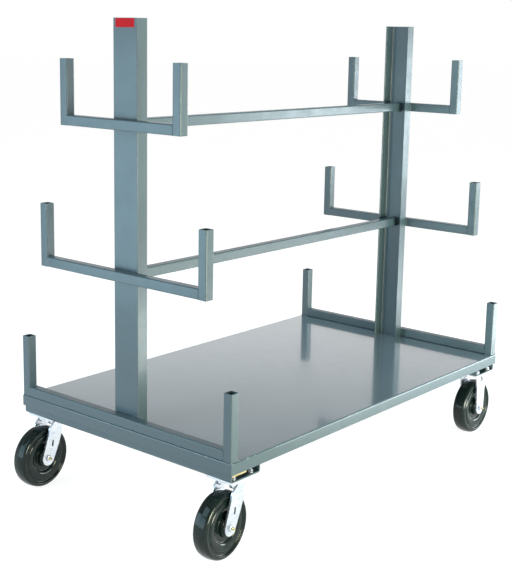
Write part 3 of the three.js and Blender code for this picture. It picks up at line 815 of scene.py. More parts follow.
class Welder:
    """Lays rippled weld beads into one mesh."""

    section_steps = 6
    throat_share, bow_share, ripple_share = 0.82, 0.10, 0.07
    wave_share, waves_per_metre, grain_share = 0.05, 180, 0.03
    lag_share, taper_share = 0.35, 1.4
    end_width, root_depth = 0.3 * MM, 0.1 * MM

    def __init__(self, settings, seed):
        self.bm = bmesh.new()
        self.leg = settings.weld_leg
        self.ripple = settings.weld_ripple
        self.chance = random.Random(seed)

    def fillet(self, start, end, normal_a, normal_b, leg=None):
        """A bead in the corner of two faces, from start to end, whose ends taper."""
        start, end = Vector(start), Vector(end)
        leg = leg or self.leg
        length = (end - start).length
        along = (end - start) / length
        stations = max(8, round(length / self.ripple * 4))
        phase = self.chance.uniform(0, math.tau)
        drift = self.chance.uniform(0.9, 1.1)
        rings = []
        for station in range(stations + 1):
            distance = length * station / stations
            from_end = min(distance, length - distance) + self.end_width
            taper = math.sqrt(min(1.0, from_end / (self.taper_share * leg)))
            wobble = self.wave_share * math.sin(distance * self.waves_per_metre * drift + phase)
            wobble += self.chance.uniform(-self.grain_share, self.grain_share)
            ring = []
            for step in range(self.section_steps + 1):
                angle = math.pi / 2 * step / self.section_steps
                bow = math.sin(2 * angle)
                lag = self.lag_share * self.ripple * bow
                wave = math.sin(math.tau * (distance - lag) / self.ripple + phase)
                swell = self.throat_share + self.bow_share * bow + self.ripple_share * bow * wave + wobble
                offset = (normal_b * math.cos(angle) + normal_a * math.sin(angle)) * (leg * taper * swell)
                ring.append(self.bm.verts.new(start + along * distance + offset))
            root = start + along * distance - (normal_a + normal_b) * self.root_depth
            ring.append(self.bm.verts.new(root))
            rings.append(ring)
        self.skin(rings)

    def strap(self, start, end, normal, half):
        """A flush weld along a butt seam: a low, flat-topped ridge."""
        start, end = Vector(start), Vector(end)
        across = (end - start).normalized().cross(normal)
        count = max(6, round((end - start).length / self.ripple * 2))
        section_shares = ((-1, -0.1), (-0.5, 0.8), (0, 1), (0.5, 0.8), (1, -0.1), (0, -1))
        least_rise, spare_rise = 0.28 * MM, 0.12
        rings = []
        for step in range(count + 1):
            spot = start.lerp(end, step / count)
            rise = least_rise + self.chance.uniform(0, spare_rise) * MM
            wide = half * self.chance.uniform(0.85, 1.1)
            rings.append([self.bm.verts.new(spot + across * a * wide + normal * b * rise)
                          for a, b in section_shares])
        self.skin(rings)

    def dot(self, centre, normal, radius):
        """A tack: a low round drop of weld on a face."""
        turn = normal.to_track_quat("Z", "Y").to_matrix().to_4x4()
        rise = self.chance.uniform(0.45, 0.6)
        ball = Matrix.Translation(centre) @ turn @ Matrix.Diagonal((radius, radius, radius * rise, 1))
        bmesh.ops.create_uvsphere(self.bm, u_segments=16, v_segments=10, radius=1, matrix=ball)

    def skin(self, rings):
        skin_rings(self.bm, rings)
        self.bm.faces.new(list(reversed(rings[0])))
        self.bm.faces.new(rings[-1])

    def finish(self, name):
        add_painted(name, mesh_of(self.bm), HERE)


def weld_arm(welder, end, level):
    """The beads that hold an arm to its upright: up both flanges, and short ones at the web's corners."""
    low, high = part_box(f"cross_tube_{end}_{level}")
    channel_low, channel_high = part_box(f"upright_{end}")
    inward = -side_of(end) * X
    seam = high.x if end == "near" else low.x
    corner = bpy.context.scene.cart_steel.tube_corner
    stitch, inset, leg = 14 * MM, 3 * MM, 3 * MM
    for side, face in ((-1, channel_low.y), (1, channel_high.y)):
        foot, head = low.z + corner / 2, high.z - corner / 2
        welder.fillet((seam, face, foot), (seam, face, head), inward, side * Y)
        edge = face - side * inset
        welder.fillet((seam, edge - side * stitch, high.z), (seam, edge, high.z), Z, -inward, leg)
        if level != "low":
            welder.fillet((seam, edge - side * stitch, low.z), (seam, edge, low.z), -Z, -inward, leg)


def weld_post(welder, end, level, flank):
    """A bead in the post's inner corner, flush straps on its sides, and tacks and a bead on the deck."""
    low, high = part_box(f"post_{end}_{level}_{flank}")
    arm_low, arm_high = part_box(f"cross_tube_{end}_{level}")
    side = -1 if flank == "front" else 1
    face, outer = (high.y, low.y) if side < 0 else (low.y, high.y)
    margin = bpy.context.scene.cart_steel.tube_corner
    corner_leg, deck_leg, strap_half, strap_shift = 3.4 * MM, 3 * MM, 1.6 * MM, 0.3 * MM
    tack_depth, tack_height = 0.8 * MM, 0.5 * MM
    tacks = ((low.x + 2.5 * MM, 2.6 * MM), (high.x - 1.5 * MM, 3.2 * MM))
    start, end_point = (low.x + margin, face, arm_high.z), (high.x - margin, face, arm_high.z)
    welder.fillet(start, end_point, -side * Y, Z, corner_leg)
    if level == "low":
        for x, radius in tacks:
            welder.dot((x, outer - side * tack_depth, low.z + tack_height), side * Y, radius)
        inward = high.x if end == "near" else low.x
        start, end_point = (inward, low.y + margin, low.z), (inward, high.y - margin, low.z)
        welder.fillet(start, end_point, -side_of(end) * X, Z, deck_leg)
    seam = face + side * strap_shift
    for x, out in ((low.x, -X), (high.x, X)):
        welder.strap((x, seam, arm_low.z + margin), (x, seam, arm_high.z - margin), out, strap_half)


def weld_upright_foot(welder, end):
    """Beads round an upright's foot on the deck, outside and inside."""
    low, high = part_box(f"upright_{end}")
    steel = bpy.context.scene.cart_steel
    step = -side_of(end)
    web, tip = (low.x, high.x) if end == "near" else (high.x, low.x)
    floor, leg = low.z, 3.5 * MM
    web_margin, tip_margin = 3 * MM, 1 * MM
    inner_web_margin, inner_tip_margin, flank_margin = 16 * MM, 5 * MM, 18 * MM
    for side, face in ((-1, low.y), (1, high.y)):
        start, stop = (web + step * web_margin, face, floor), (tip - step * tip_margin, face, floor)
        welder.fillet(start, stop, side * Y, Z)
        inner = face - side * (steel.channel_flange + 0.4 * MM)
        start = (web + step * inner_web_margin, inner, floor)
        stop = (tip - step * inner_tip_margin, inner, floor)
        welder.fillet(start, stop, -side * Y, Z, leg)
    inside = web + step * steel.channel_web
    start, stop = (inside, low.y + flank_margin, floor), (inside, high.y - flank_margin, floor)
    welder.fillet(start, stop, step * X, Z, leg)


def weld_tie(welder, level):
    """Beads all round both ends of a tie bar."""
    low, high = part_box(f"tie_bar_{level}")
    margin, leg = bpy.context.scene.cart_steel.tube_corner, 3.6 * MM
    for x, inward in ((low.x, X), (high.x, -X)):
        for z, up in ((low.z, -Z), (high.z, Z)):
            welder.fillet((x, low.y + margin, z), (x, high.y - margin, z), up, inward, leg)
        for y, out in ((low.y, -Y), (high.y, Y)):
            welder.fillet((x, y, low.z + margin), (x, y, high.z - margin), out, inward, leg)


def weld_seams(welder, end):
    """Stitches along the seam of the low tube and the deck, and of the deck and its bolster."""
    low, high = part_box("deck_pan")
    bolster_low, bolster_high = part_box(f"bolster_{end}")
    out = side_of(end) * X
    face, bolster_face = (low.x, bolster_low.x) if end == "near" else (high.x, bolster_high.x)
    bend_share, tube_leg, bolster_leg, bolster_stitch = 0.3, 1.9 * MM, 3.2 * MM, 50
    drop = bpy.context.scene.cart_steel.deck_bend * bend_share
    for centre, length in ((-215, 52), (-62, 26), (52, 34), (222, 50)):
        first, last = (centre - length / 2) * MM, (centre + length / 2) * MM
        seam = face - out.x * drop
        welder.fillet((seam, first, high.z - drop), (seam, last, high.z - drop), Z, out, tube_leg)
    for centre in (-330, -110, 110, 330):
        first, last = (centre - bolster_stitch / 2) * MM, (centre + bolster_stitch / 2) * MM
        welder.fillet((bolster_face, first, low.z), (bolster_face, last, low.z), -Z, out, bolster_leg)


def weld_rib(welder):
    """Stitches along both feet of the deck's stiffener."""
    low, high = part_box("deck_stiffener")
    pitch, length, leg = 180 * MM, 40 * MM, 3 * MM
    count = int((high.x - low.x) / pitch)
    start = (low.x + high.x) / 2 - pitch * (count - 1) / 2
    for index in range(count):
        x = start + index * pitch
        for y, out in ((low.y, -Y), (high.y, Y)):
            welder.fillet((x - length / 2, y, high.z), (x + length / 2, y, high.z), out, -Z, leg)


class CART_OT_welds(bpy.types.Operator):
    """Lays the weld beads, stitches and tacks of the frame"""

    bl_idname = "cart.welds"
    bl_label = "Welds"

    def execute(self, context):
        settings = context.scene.cart_steel
        seeds = itertools.count(1)
        for end in ENDS:
            for level in LEVELS:
                welder = Welder(settings, next(seeds))
                weld_arm(welder, end, level)
                for flank in FLANKS:
                    weld_post(welder, end, level, flank)
                welder.finish(f"welds_{end}_{level}")
            welder = Welder(settings, next(seeds))
            weld_upright_foot(welder, end)
            weld_seams(welder, end)
            welder.finish(f"welds_{end}_foot")
        for level in LEVELS[1:]:
            welder = Welder(settings, next(seeds))
            weld_tie(welder, level)
            welder.finish(f"welds_tie_{level}")
        welder = Welder(settings, next(seeds))
        weld_rib(welder)
        welder.finish("welds_rib")
        return {"FINISHED"}


class CART_OT_label(bpy.types.Operator):
    """Makes the plain red label at the top of the near upright"""

    bl_idname = "cart.label"
    bl_label = "Label"

    def execute(self, context):
        settings = context.scene.cart_steel
        low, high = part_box("upright_near")
        width, height = settings.label_width, settings.label_height
        thickness, corner = 0.25 * MM, 1.5 * MM
        side_margin, top_margin = 10.5 * MM, 1 * MM
        outline = rounded_rectangle(width, height, corner, 4)
        inner = rounded_rectangle(width - 2 * thickness, height - 2 * thickness, corner - thickness, 4)
        mesh = loft([
            [(x, y, 0) for x, y in outline],
            [(x, y, thickness / 2) for x, y in outline],
            [(x, y, thickness) for x, y in inner],
        ])
        facing = Matrix(((0, 0, -1, 0), (-1, 0, 0, 0), (0, 1, 0, 0), (0, 0, 0, 1)))
        at = place(low.x, high.y - side_margin - width / 2, high.z - height / 2 - top_margin) @ facing
        add_piece("label", mesh, "frame", "frame_paint", at, finish="label")
        return {"FINISHED"}


class CART_OT_strip(bpy.types.Operator):
    """Makes the thin amber strip in the open end of the near bolster"""

    bl_idname = "cart.strip"
    bl_label = "Amber Strip"

    def execute(self, context):
        steel = context.scene.cart_steel
        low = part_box("bolster_near")[0]
        drop, height, length, thickness = 39 * MM, 6.3 * MM, 63 * MM, 2 * MM
        corner, edge = 0.6 * MM, 0.3 * MM
        outline = rounded_rectangle(length, height, corner, 3)
        mesh = moved(eased(prism(outline, -thickness / 2, thickness / 2), edge), SIDE_ON)
        start = low.x + steel.bolster_plate
        at = place(start + length / 2, low.y + thickness, DECK_TOP - drop - height / 2)
        add_piece("amber_strip", mesh, "frame", "yellow_zinc", at)
        return {"FINISHED"}


# Hexagons and bolts

def hexagon(flats):
    radius = flats / 2 / math.cos(math.pi / 6)
    return [(radius * math.cos(math.tau * k / 6), radius * math.sin(math.tau * k / 6)) for k in range(6)]


def hex_block(flats, low, high, chamfer_low=True, chamfer_high=True):
    """A hexagon between two heights, its corners turned down by a cone at either end."""
    spare, face_share, slope = 0.5 * MM, 0.96, math.radians(30)
    corner = flats / 2 / math.cos(math.pi / 6) + spare
    face = flats / 2 * face_share
    drop = (corner - face) * math.tan(slope)
    below = [(face, low), (corner, low + drop)] if chamfer_low else [(corner, low)]
    above = [(corner, high - drop), (face, high)] if chamfer_high else [(corner, high)]
    cone = lathe([(0, low)] + below + above + [(0, high)], 48, closed=False)
    return combined(prism(hexagon(flats), low, high), "INTERSECT", cone)


def shank(radius, low, high, chamfer=0.8 * MM, steps=32):
    profile = [(0, low), (radius - chamfer, low), (radius, low + chamfer),
               (radius, high - chamfer), (radius - chamfer, high), (0, high)]
    return lathe(profile, steps, closed=False)


def plug(radius, low, high, steps=32):
    """A plain round plug, for bores and thin faces."""
    return shank(radius, low, high, 0.1 * MM, steps)


def threaded(radius, low, high, pitch=1.6 * MM, steps=24):
    """A threaded end: a shallow zigzag of rings, tapered at the tip."""
    depth, tip_share, tip_height = pitch / 2, 1.6, 0.2 * MM
    profile = [(0, low)]
    count = max(1, round((high - low) / pitch))
    for index in range(count):
        z = low + (high - low) * index / count
        profile += [(radius - depth, z), (radius, z + (high - low) / count / 2)]
    profile += [(radius - depth, high - tip_height), (radius - depth * tip_share, high), (0, high)]
    return lathe(profile, steps, closed=False)


def bolt_places(settings):
    half = settings.bolt_spacing / 2
    return [(dx, dy) for dx in (-half, half) for dy in (-half, half)]


def mounting_bolt_parts(settings):
    """A mounting bolt's head under the plate, and its nut, washer and end above the bolster."""
    head_height, nut_top, end_height, end_radius = 6 * MM, 8 * MM, 13 * MM, 4.75 * MM
    face_height, face_share, face_overlap = 0.6 * MM, 0.47, 0.2 * MM
    washer_bore, washer_radius, washer_height = 5 * MM, 10 * MM, 1.6 * MM
    flats = settings.bolt_flats
    web_top = PLATE_TOP + WELD_GAP + bpy.context.scene.cart_steel.bolster_plate
    head_top = PLATE_UNDERSIDE - SEAT_GAP
    head = hex_block(flats, head_top - head_height, head_top - face_height, True, False)
    washer_face = plug(flats * face_share, head_top - face_height - face_overlap, head_top)
    washer_top = web_top + washer_height
    washer = lathe([(washer_bore, web_top), (washer_radius, web_top), (washer_radius, washer_top),
                    (washer_bore, washer_top)], 32)
    nut = hex_block(flats, washer_top, web_top + nut_top)
    end = threaded(end_radius, web_top, web_top + end_height)
    return [head, washer_face, end, washer, nut]


class CART_OT_mounting_bolts(bpy.types.Operator):
    """Makes the bolts, washers and nuts that hold the casters to the bolsters"""

    bl_idname = "cart.mounting_bolts"
    bl_label = "Mounting Bolts"

    def execute(self, context):
        settings = context.scene.cart_casters
        parts = mounting_bolt_parts(settings)
        for caster in CASTERS:
            centre = middle_of(f"caster_plate_{caster}")
            places = [place(centre.x + dx, centre.y + dy) for dx, dy in bolt_places(settings)]
            bolts = gathered(*parts, places=places)
            add_piece(f"mounting_bolts_{caster}", bolts, "frame", "zinc", HERE)
        return {"FINISHED"}


# Casters

def caster_frame(caster):
    """The place of a caster's axle centre, turned as the caster stands at rest."""
    joint = JOINTS[f"wheel_{caster}_roll"]
    axis = joint["axis"]
    return Matrix.Translation(joint["pos_m"]) @ Matrix.Rotation(math.atan2(-axis[0], axis[1]), 4, "Z")


def pin_of(caster):
    """Where a swivel caster's kingpin stands."""
    flank = caster.split("_")[1]
    return JOINTS[f"swivel_{flank}_turn"]["pos_m"]


def swivel_frame(caster):
    """The place of a swivel caster's kingpin on the floor, turned as the caster stands at rest."""
    pin = pin_of(caster)
    return place(pin[0], pin[1]) @ caster_frame(caster).to_3x3().to_4x4()


def trail_of(caster):
    """How far a swivel caster's axle lies behind its kingpin."""
    pin, eye = pin_of(caster), JOINTS[f"wheel_{caster}_roll"]["pos_m"]
    return math.hypot(pin[0] - eye[0], pin[1] - eye[1])


def slot_cutter(dx, dy):
    """A plate's bolt slot, which points at the plate's middle."""
    length, width, corner = 16 * MM, 10.3 * MM, 5.1 * MM
    outline = rounded_rectangle(length, width, corner)
    turn = Matrix.Rotation(math.radians(45 if dx * dy > 0 else -45), 4, "Z")
    return moved(prism(outline, PLATE_UNDERSIDE - OVERRUN, PLATE_TOP + OVERRUN), place(dx, dy) @ turn)


def plate_mesh(settings):
    """The top plate with its four slots."""
    corner = 10 * MM
    mesh = prism(rounded_rectangle(PLATE.x, PLATE.y, corner, 8), PLATE_UNDERSIDE, PLATE_TOP)
    return eased(combined(mesh, "DIFFERENCE", *(slot_cutter(dx, dy) for dx, dy in bolt_places(settings))))


def track_height():
    """The height that the middles of a swivel's balls run at."""
    return middle_of("ball_ring_swivel_front").z


def track_points(settings, clearance, start, end, steps):
    centre = (settings.race_radius, track_height())
    return arc(centre, settings.ball_radius + clearance, start, end, steps)


def upper_race_mesh(settings):
    """The hardened race under a swivel plate, with the groove that its balls run in."""
    outer, bore, depth, edge, clearance = 32.5 * MM, 6.8 * MM, 3 * MM, 1 * MM, 0.2 * MM
    low = PLATE_UNDERSIDE - depth
    profile = [(bore, PLATE_UNDERSIDE), (bore, low)] + track_points(settings, clearance, 172, 8, 12)
    profile += arc((outer - edge, low + edge), edge, -90, 0, 4) + [(outer, PLATE_UNDERSIDE)]
    return lathe(profile, 72)


def lower_race_mesh(crown):
    """The pressed outer wall of the ball race on a fork's crown, with a rolled rim and a filleted foot."""
    outer, wall, gap, foot, sunk = 37 * MM, 2.5 * MM, 1.2 * MM, 1.5 * MM, 2 * MM
    top, inner = PLATE_UNDERSIDE - gap, outer - wall
    profile = [(inner - foot, crown), (inner - foot, crown - sunk), (outer, crown - sunk)]
    profile += arc((outer - wall / 2, top - wall / 2), wall / 2, 0, 180, 8)
    profile += arc((inner - foot, crown + foot), foot, 0, -90, 5)[:-1]
    return lathe(profile, 72)


def balls_mesh(settings):
    """The ring of balls in its cage."""
    height, race, count = track_height(), settings.race_radius, 10
    cage_width, cage_height, cage_corner = 3 * MM, 1.6 * MM, 0.5 * MM
    bm = bmesh.new()
    for index in range(count):
        angle = math.tau * index / count
        spot = place(race * math.cos(angle), race * math.sin(angle), height)
        bmesh.ops.create_uvsphere(
            bm, u_segments=20, v_segments=14, radius=settings.ball_radius, matrix=spot)
    section = rounded_rectangle(cage_width, cage_height, cage_corner, 3)
    cage = lathe([(race + x, height + z) for x, z in section], 72)
    return gathered(mesh_of(bm), cage)


def crown_mesh(settings, top):
    """A swivel fork's crown: a disc whose rim is pressed down into a skirt over each leg."""
    radius, plate, bend, edge = settings.crown_radius, settings.fork_plate, 4 * MM, 0.8 * MM
    skirt_drop, fold_radius, overlap = 21.5 * MM, 2 * MM, 3 * MM
    tail, nose, foot = -29 * MM, 31 * MM, 8 * MM
    bore, low = settings.axle_radius + PIN_CLEARANCE, top - skirt_drop
    rim = arc((radius - bend, top - bend), bend, 0, 90, 8)
    under = top - plate
    disc = lathe([(bore, under), (radius - edge, under), (radius, under + edge)] + rim + [(bore, top)], 96)
    inner = radius - plate
    fold = arc((inner - fold_radius, under - fold_radius), fold_radius, 90, 0, 5)
    skirt = [(inner - fold_radius, top - overlap)] + fold + [(inner, low), (radius, low)] + rim[:5]
    side = [(tail, top), (tail, low + foot)]
    side += curve((tail, low + foot), (tail, low), (tail + foot, low), 6)[1:]
    side += curve((nose - foot, low), (nose, low), (nose, low + foot), 6) + [(nose, top)]
    return combined(disc, "UNION", combined(lathe(skirt, 96), "INTERSECT", leg_cutter(side)))


def swivel_leg_outline(settings, trail, top):
    """A swivel leg from the side: it leans from the crown to its eye, which trails the kingpin."""
    eye, crown = (-trail, AXLE_HEIGHT), (-trail, top)
    top_nose, top_tail = beside(crown, 56, -4), beside(crown, 36, -4)
    tail_shoulder, tail = beside(crown, 7, -30.5), beside(crown, 5, -45)
    nose, knee, shoulder = beside(eye, 47, 39.4), beside(crown, 61, -51.5), beside(crown, 64, -29.5)
    outline = [top_nose, top_tail] + bent(top_tail, tail_shoulder, tail)
    outline += round_eye(tail, nose, eye, settings.eye_radius)
    return outline + [nose] + bent(nose, knee, shoulder) + bent(knee, shoulder, top_nose)


def bent(before, corner, after, reach=9 * MM):
    """A corner of an outline, rounded over a reach on both sides."""
    ends = []
    for other in (before, after):
        share = reach / math.dist(corner, other)
        ends.append(tuple(c + (o - c) * share for c, o in zip(corner, other)))
    return curve(ends[0], corner, ends[1], 6)


def fork_section(settings, top):
    """The U that a fork is bent to, seen along X."""
    half, plate, bend = settings.fork_gap / 2 + settings.fork_plate, settings.fork_plate, settings.fork_bend
    inner = bend - plate
    foot = AXLE_HEIGHT - settings.eye_radius - OVERRUN
    outline = [(half, foot)] + arc((half - bend, top - bend), bend, 0, 90, 8)
    outline += arc((bend - half, top - bend), bend, 90, 180, 8) + [(-half, foot), (plate - half, foot)]
    outline += arc((bend - half, top - bend), inner, 180, 90, 6)
    outline += arc((half - bend, top - bend), inner, 90, 0, 6) + [(half - plate, foot)]
    return outline


def axle_cutter(settings, x):
    cutter = plug(settings.axle_radius + PIN_CLEARANCE, -PLATE.x, PLATE.x)
    return moved(cutter, place(x, 0, AXLE_HEIGHT) @ ALONG_Y)


def leg_cutter(outline):
    """A side outline made wide enough to cut both legs."""
    return moved(prism(outline, -PLATE.x, PLATE.x), SIDE_ON)


def swivel_fork_mesh(settings, trail):
    top = PLATE_UNDERSIDE - settings.crown_drop
    inner = settings.fork_gap / 2
    outer = inner + settings.fork_plate
    window_width, window_height, window_corner, lean = 7 * MM, 22 * MM, 3.45 * MM, math.radians(8.6)
    window_reach, window_rise, clearance, edge = 19.5 * MM, 45.9 * MM, 0.25 * MM, 0.6 * MM
    outline = swivel_leg_outline(settings, trail, top)
    legs = [moved(prism(outline, low, high), SIDE_ON) for low, high in ((inner, outer), (-outer, -inner))]
    mesh = combined(crown_mesh(settings, top), "UNION", *legs, lower_race_mesh(top))
    window = leg_cutter(rounded_rectangle(window_width, window_height, window_corner))
    window.transform(Matrix.Rotation(lean, 4, "Y"))
    window.transform(place(window_reach - trail, 0, AXLE_HEIGHT + window_rise))
    track = lathe(track_points(settings, clearance, 0, 345, 23), 72)
    mesh = combined(mesh, "DIFFERENCE", axle_cutter(settings, -trail), window, track)
    return eased(mesh, edge, 35)


def rigid_fork_mesh(settings):
    top, half = PLATE_UNDERSIDE - WELD_GAP, 30 * MM
    blank = moved(prism(fork_section(settings, top), -half, half), ALONG_X)
    tail, nose = (-half, top), (half, top)
    outline = [(half, top + OVERRUN), (-half, top + OVERRUN), tail]
    outline += round_eye(tail, nose, (0, AXLE_HEIGHT), settings.eye_radius) + [nose]
    drop, rise, base, corner, edge = 5 * MM, 24 * MM, 17 * MM, 2.5 * MM, 0.8 * MM
    apex = top - drop
    floor = apex - rise
    window = [(corner - base, floor), (base - corner, floor)]
    window += curve((base - corner, floor), (base, floor), (base - corner, floor + corner), 4)[1:]
    window += curve((corner, apex - corner), (0, apex), (-corner, apex - corner), 4)
    window += curve((corner - base, floor + corner), (-base, floor), (corner - base, floor), 4)[:-1]
    mesh = combined(blank, "INTERSECT", leg_cutter(outline))
    mesh = combined(mesh, "DIFFERENCE", leg_cutter(window), axle_cutter(settings, 0))
    return eased(mesh, edge, 35)


class CART_OT_forks(bpy.types.Operator):
    """Makes the forks of the swivel and rigid casters"""

    bl_idname = "cart.forks"
    bl_label = "Forks"

    def execute(self, context):
        settings = context.scene.cart_casters
        swivel = swivel_fork_mesh(settings, trail_of(SWIVELS[0]))
        for caster in SWIVELS:
            at = swivel_frame(caster)
            add_piece(f"yoke_{caster}", swivel.copy(), caster, "zinc", at, f"fork_{caster}")
        rigid = rigid_fork_mesh(settings)
        for caster in RIGIDS:
            centre = caster_frame(caster).translation
            at = place(centre.x, centre.y)
            add_piece(f"yoke_{caster}", rigid.copy(), "frame", "zinc", at, f"fork_{caster}")
            self.add_welds(context, caster, at)
        return {"FINISHED"}

    def add_welds(self, context, caster, at):
        """Beads along a rigid fork's top, where it meets its plate."""
        settings = context.scene.cart_casters
        welder = Welder(context.scene.cart_steel, len(caster))
        reach, leg, bend_share = 27 * MM, 3.6 * MM, 0.35
        edge = settings.fork_gap / 2 + settings.fork_plate - settings.fork_bend * bend_share
        seam = PLATE_UNDERSIDE - WELD_GAP
        for side in (-1, 1):
            welder.fillet((-reach, side * edge, seam), (reach, side * edge, seam), side * Y, -Z, leg)
        add_piece(f"plate_welds_{caster}", mesh_of(welder.bm), "frame", "zinc", at)


class CART_OT_plates(bpy.types.Operator):
    """Makes the casters' top plates, the upper races, the balls and the kingpins"""

    bl_idname = "cart.plates"
    bl_label = "Plates and Swivel Heads"

    def execute(self, context):
        settings = context.scene.cart_casters
        head_height, nut_height, pin_end, pin_overlap = 6 * MM, 7 * MM, 10 * MM, 3 * MM
        pocket_radius, pocket_depth = 12.5 * MM, 6.6 * MM
        plate, race, balls = plate_mesh(settings), upper_race_mesh(settings), balls_mesh(settings)
        bore = plug(settings.axle_radius + PIN_CLEARANCE, 0, PLATE_TOP + OVERRUN)
        pocket = plug(pocket_radius, PLATE_TOP - pocket_depth, PLATE_TOP + OVERRUN, 48)
        swivel_plate = combined(plate.copy(), "DIFFERENCE", bore, pocket)
        head_top = PLATE_TOP - SEAT_GAP
        nut_top = PLATE_UNDERSIDE - settings.crown_drop - settings.fork_plate - SEAT_GAP
        head = hex_block(settings.axle_flats, head_top - head_height, head_top)
        pin = shank(settings.axle_radius, nut_top - pin_end, head_top - pin_overlap)
        kingpin = gathered(head, pin)
        nut = hex_block(settings.axle_flats, nut_top - nut_height, nut_top)
        for caster in CASTERS:
            centre = middle_of(f"caster_plate_{caster}")
            at = place(centre.x, centre.y)
            top = plate if caster in RIGIDS else swivel_plate
            add_piece(f"top_plate_{caster}", top.copy(), "frame", "zinc", at, f"caster_plate_{caster}")
            if caster in RIGIDS:
                continue
            add_piece(f"upper_race_{caster}", race.copy(), "frame", "zinc", at)
            add_piece(f"balls_{caster}", balls.copy(), "frame", "bearing_steel", at, f"ball_ring_{caster}")
            add_piece(f"kingpin_{caster}", kingpin.copy(), "frame", "zinc", at, f"kingpin_bolt_{caster}")
            add_piece(f"pin_nut_{caster}", nut.copy(), "frame", "zinc", at, f"kingpin_nut_{caster}")
        return {"FINISHED"}


def wheel_profile(settings):
    """Half of a wheel's section from the tread to the bore, as radius and distance from the middle."""
    radius, half = WHEEL.z / 2, WHEEL_WIDTH / 2
    shoulder, hub, hub_half = settings.shoulder_radius, settings.hub_radius, WHEEL.y / 2
    flash, crown, crown_slope = 0.25 * MM, 1.6 * MM, 10
    step, dish, slope, bore_edge = 2.5 * MM, 7 * MM, 5 * MM, 1 * MM
    points = [(radius, 0)]
    for share in (0.05, 0.3, 0.55, 0.8):
        points.append((radius - flash - crown * share ** 2, share * (half - shoulder)))
    points += arc((radius - flash - crown - shoulder, half - shoulder), shoulder, crown_slope, 78, 14)
    rim, web = (radius - settings.rim_width, half), half - step
    points += curve(beside(rim, 5, -0.1), beside(rim, 1, 0), beside(rim, -0.5, -1.2), 6)
    edge, dish_edge = (rim[0], web), (settings.dish_radius, web)
    middle = ((rim[0] + settings.dish_radius) / 2, web)
    points += curve(beside(edge, -2, -1), beside(edge, -3, -3), beside(edge, -6, -3), 5)
    points += curve(beside(edge, -10, -2.4), beside(edge, -13, 1), beside(middle, 0, 1), 6)
    points += curve(beside(middle, -6, 0.7), beside(dish_edge, 2, 0), beside(dish_edge, -1.2, -3), 6)
    floor = (settings.dish_radius - slope, web - dish)
    points += curve(beside(floor, 1, 1.6), floor, beside(floor, -2.5, 0), 5)
    foot, rise = (hub, floor[1]), (hub, hub_half)
    points += curve(beside(foot, 4, 0), beside(foot, 2.4, 0), beside(foot, 2, 2.2), 5)
    points += curve(beside(rise, 0.3, -1.5), rise, beside(rise, -1.5, 0), 5)
    return points + [(HUB_BORE + bore_edge, hub_half), (HUB_BORE, hub_half - bore_edge)]


def wheel_mesh(settings):
    """A moulded wheel about Y: rim, web, dish and hub, with the mould's parting line on its tread."""
    face = wheel_profile(settings)
    back = [(r, -h) for r, h in reversed(face[1:])]
    return moved(lathe(back + face, settings.steps), ALONG_Y)


def ring_mesh(inner, outer, length, edge=CUT_EDGE, steps=48):
    half = length / 2
    section = [(inner, edge - half), (inner + edge, -half), (outer - edge, -half), (outer, edge - half),
               (outer, half - edge), (outer - edge, half), (inner + edge, half), (inner, half - edge)]
    return moved(lathe(section, steps), ALONG_Y)


class CART_OT_wheels(bpy.types.Operator):
    """Makes the wheels with their roller bearings and hub bushings"""

    bl_idname = "cart.wheels"
    bl_label = "Wheels"

    def execute(self, context):
        settings = context.scene.cart_casters
        bearing_bore = 9.9 * MM
        bearing_size = size_of("roller_bearing_rigid_front")
        bushing_size = size_of("hub_bushing_rigid_front")
        wheel = wheel_mesh(settings)
        bearing = ring_mesh(bearing_bore, bearing_size.x / 2, bearing_size.y)
        bushing = ring_mesh(settings.axle_radius + SEAT_GAP, bushing_size.x / 2, bushing_size.y)
        for caster in CASTERS:
            at, body = caster_frame(caster), f"wheel_{caster}"
            carrier = caster if caster in SWIVELS else "frame"
            add_piece(f"tread_{caster}", wheel.copy(), body, "phenolic", at, f"wheel_{caster}")
            add_piece(f"bearing_{caster}", bearing.copy(), body, "bearing_steel", at,
                      f"roller_bearing_{caster}")
            add_piece(f"bushing_{caster}", bushing.copy(), carrier, "bearing_steel", at,
                      f"hub_bushing_{caster}")
        return {"FINISHED"}


def grease_fitting_mesh(base):
    """A grease fitting that stands on an axle's head: hexagon, neck and ball tip, along Z from base."""
    flats, height, tip_radius = 8 * MM, 3.5 * MM, 2.6 * MM
    foot = (0, base)
    neck = curve(beside(foot, 3.1, 5), beside(foot, 1.9, 5.4), beside(foot, 1.9, 6.6), 5)
    tip = arc(beside(foot, 0, 8.2), tip_radius, -40, 60, 8)
    profile = [beside(foot, 0, 3), beside(foot, 3.1, 3)] + neck + tip
    profile += [beside(foot, 0.8, 10.4), beside(foot, 0, 10.4)]
    return gathered(hex_block(flats, base, base + height), lathe(profile, 32, closed=False))


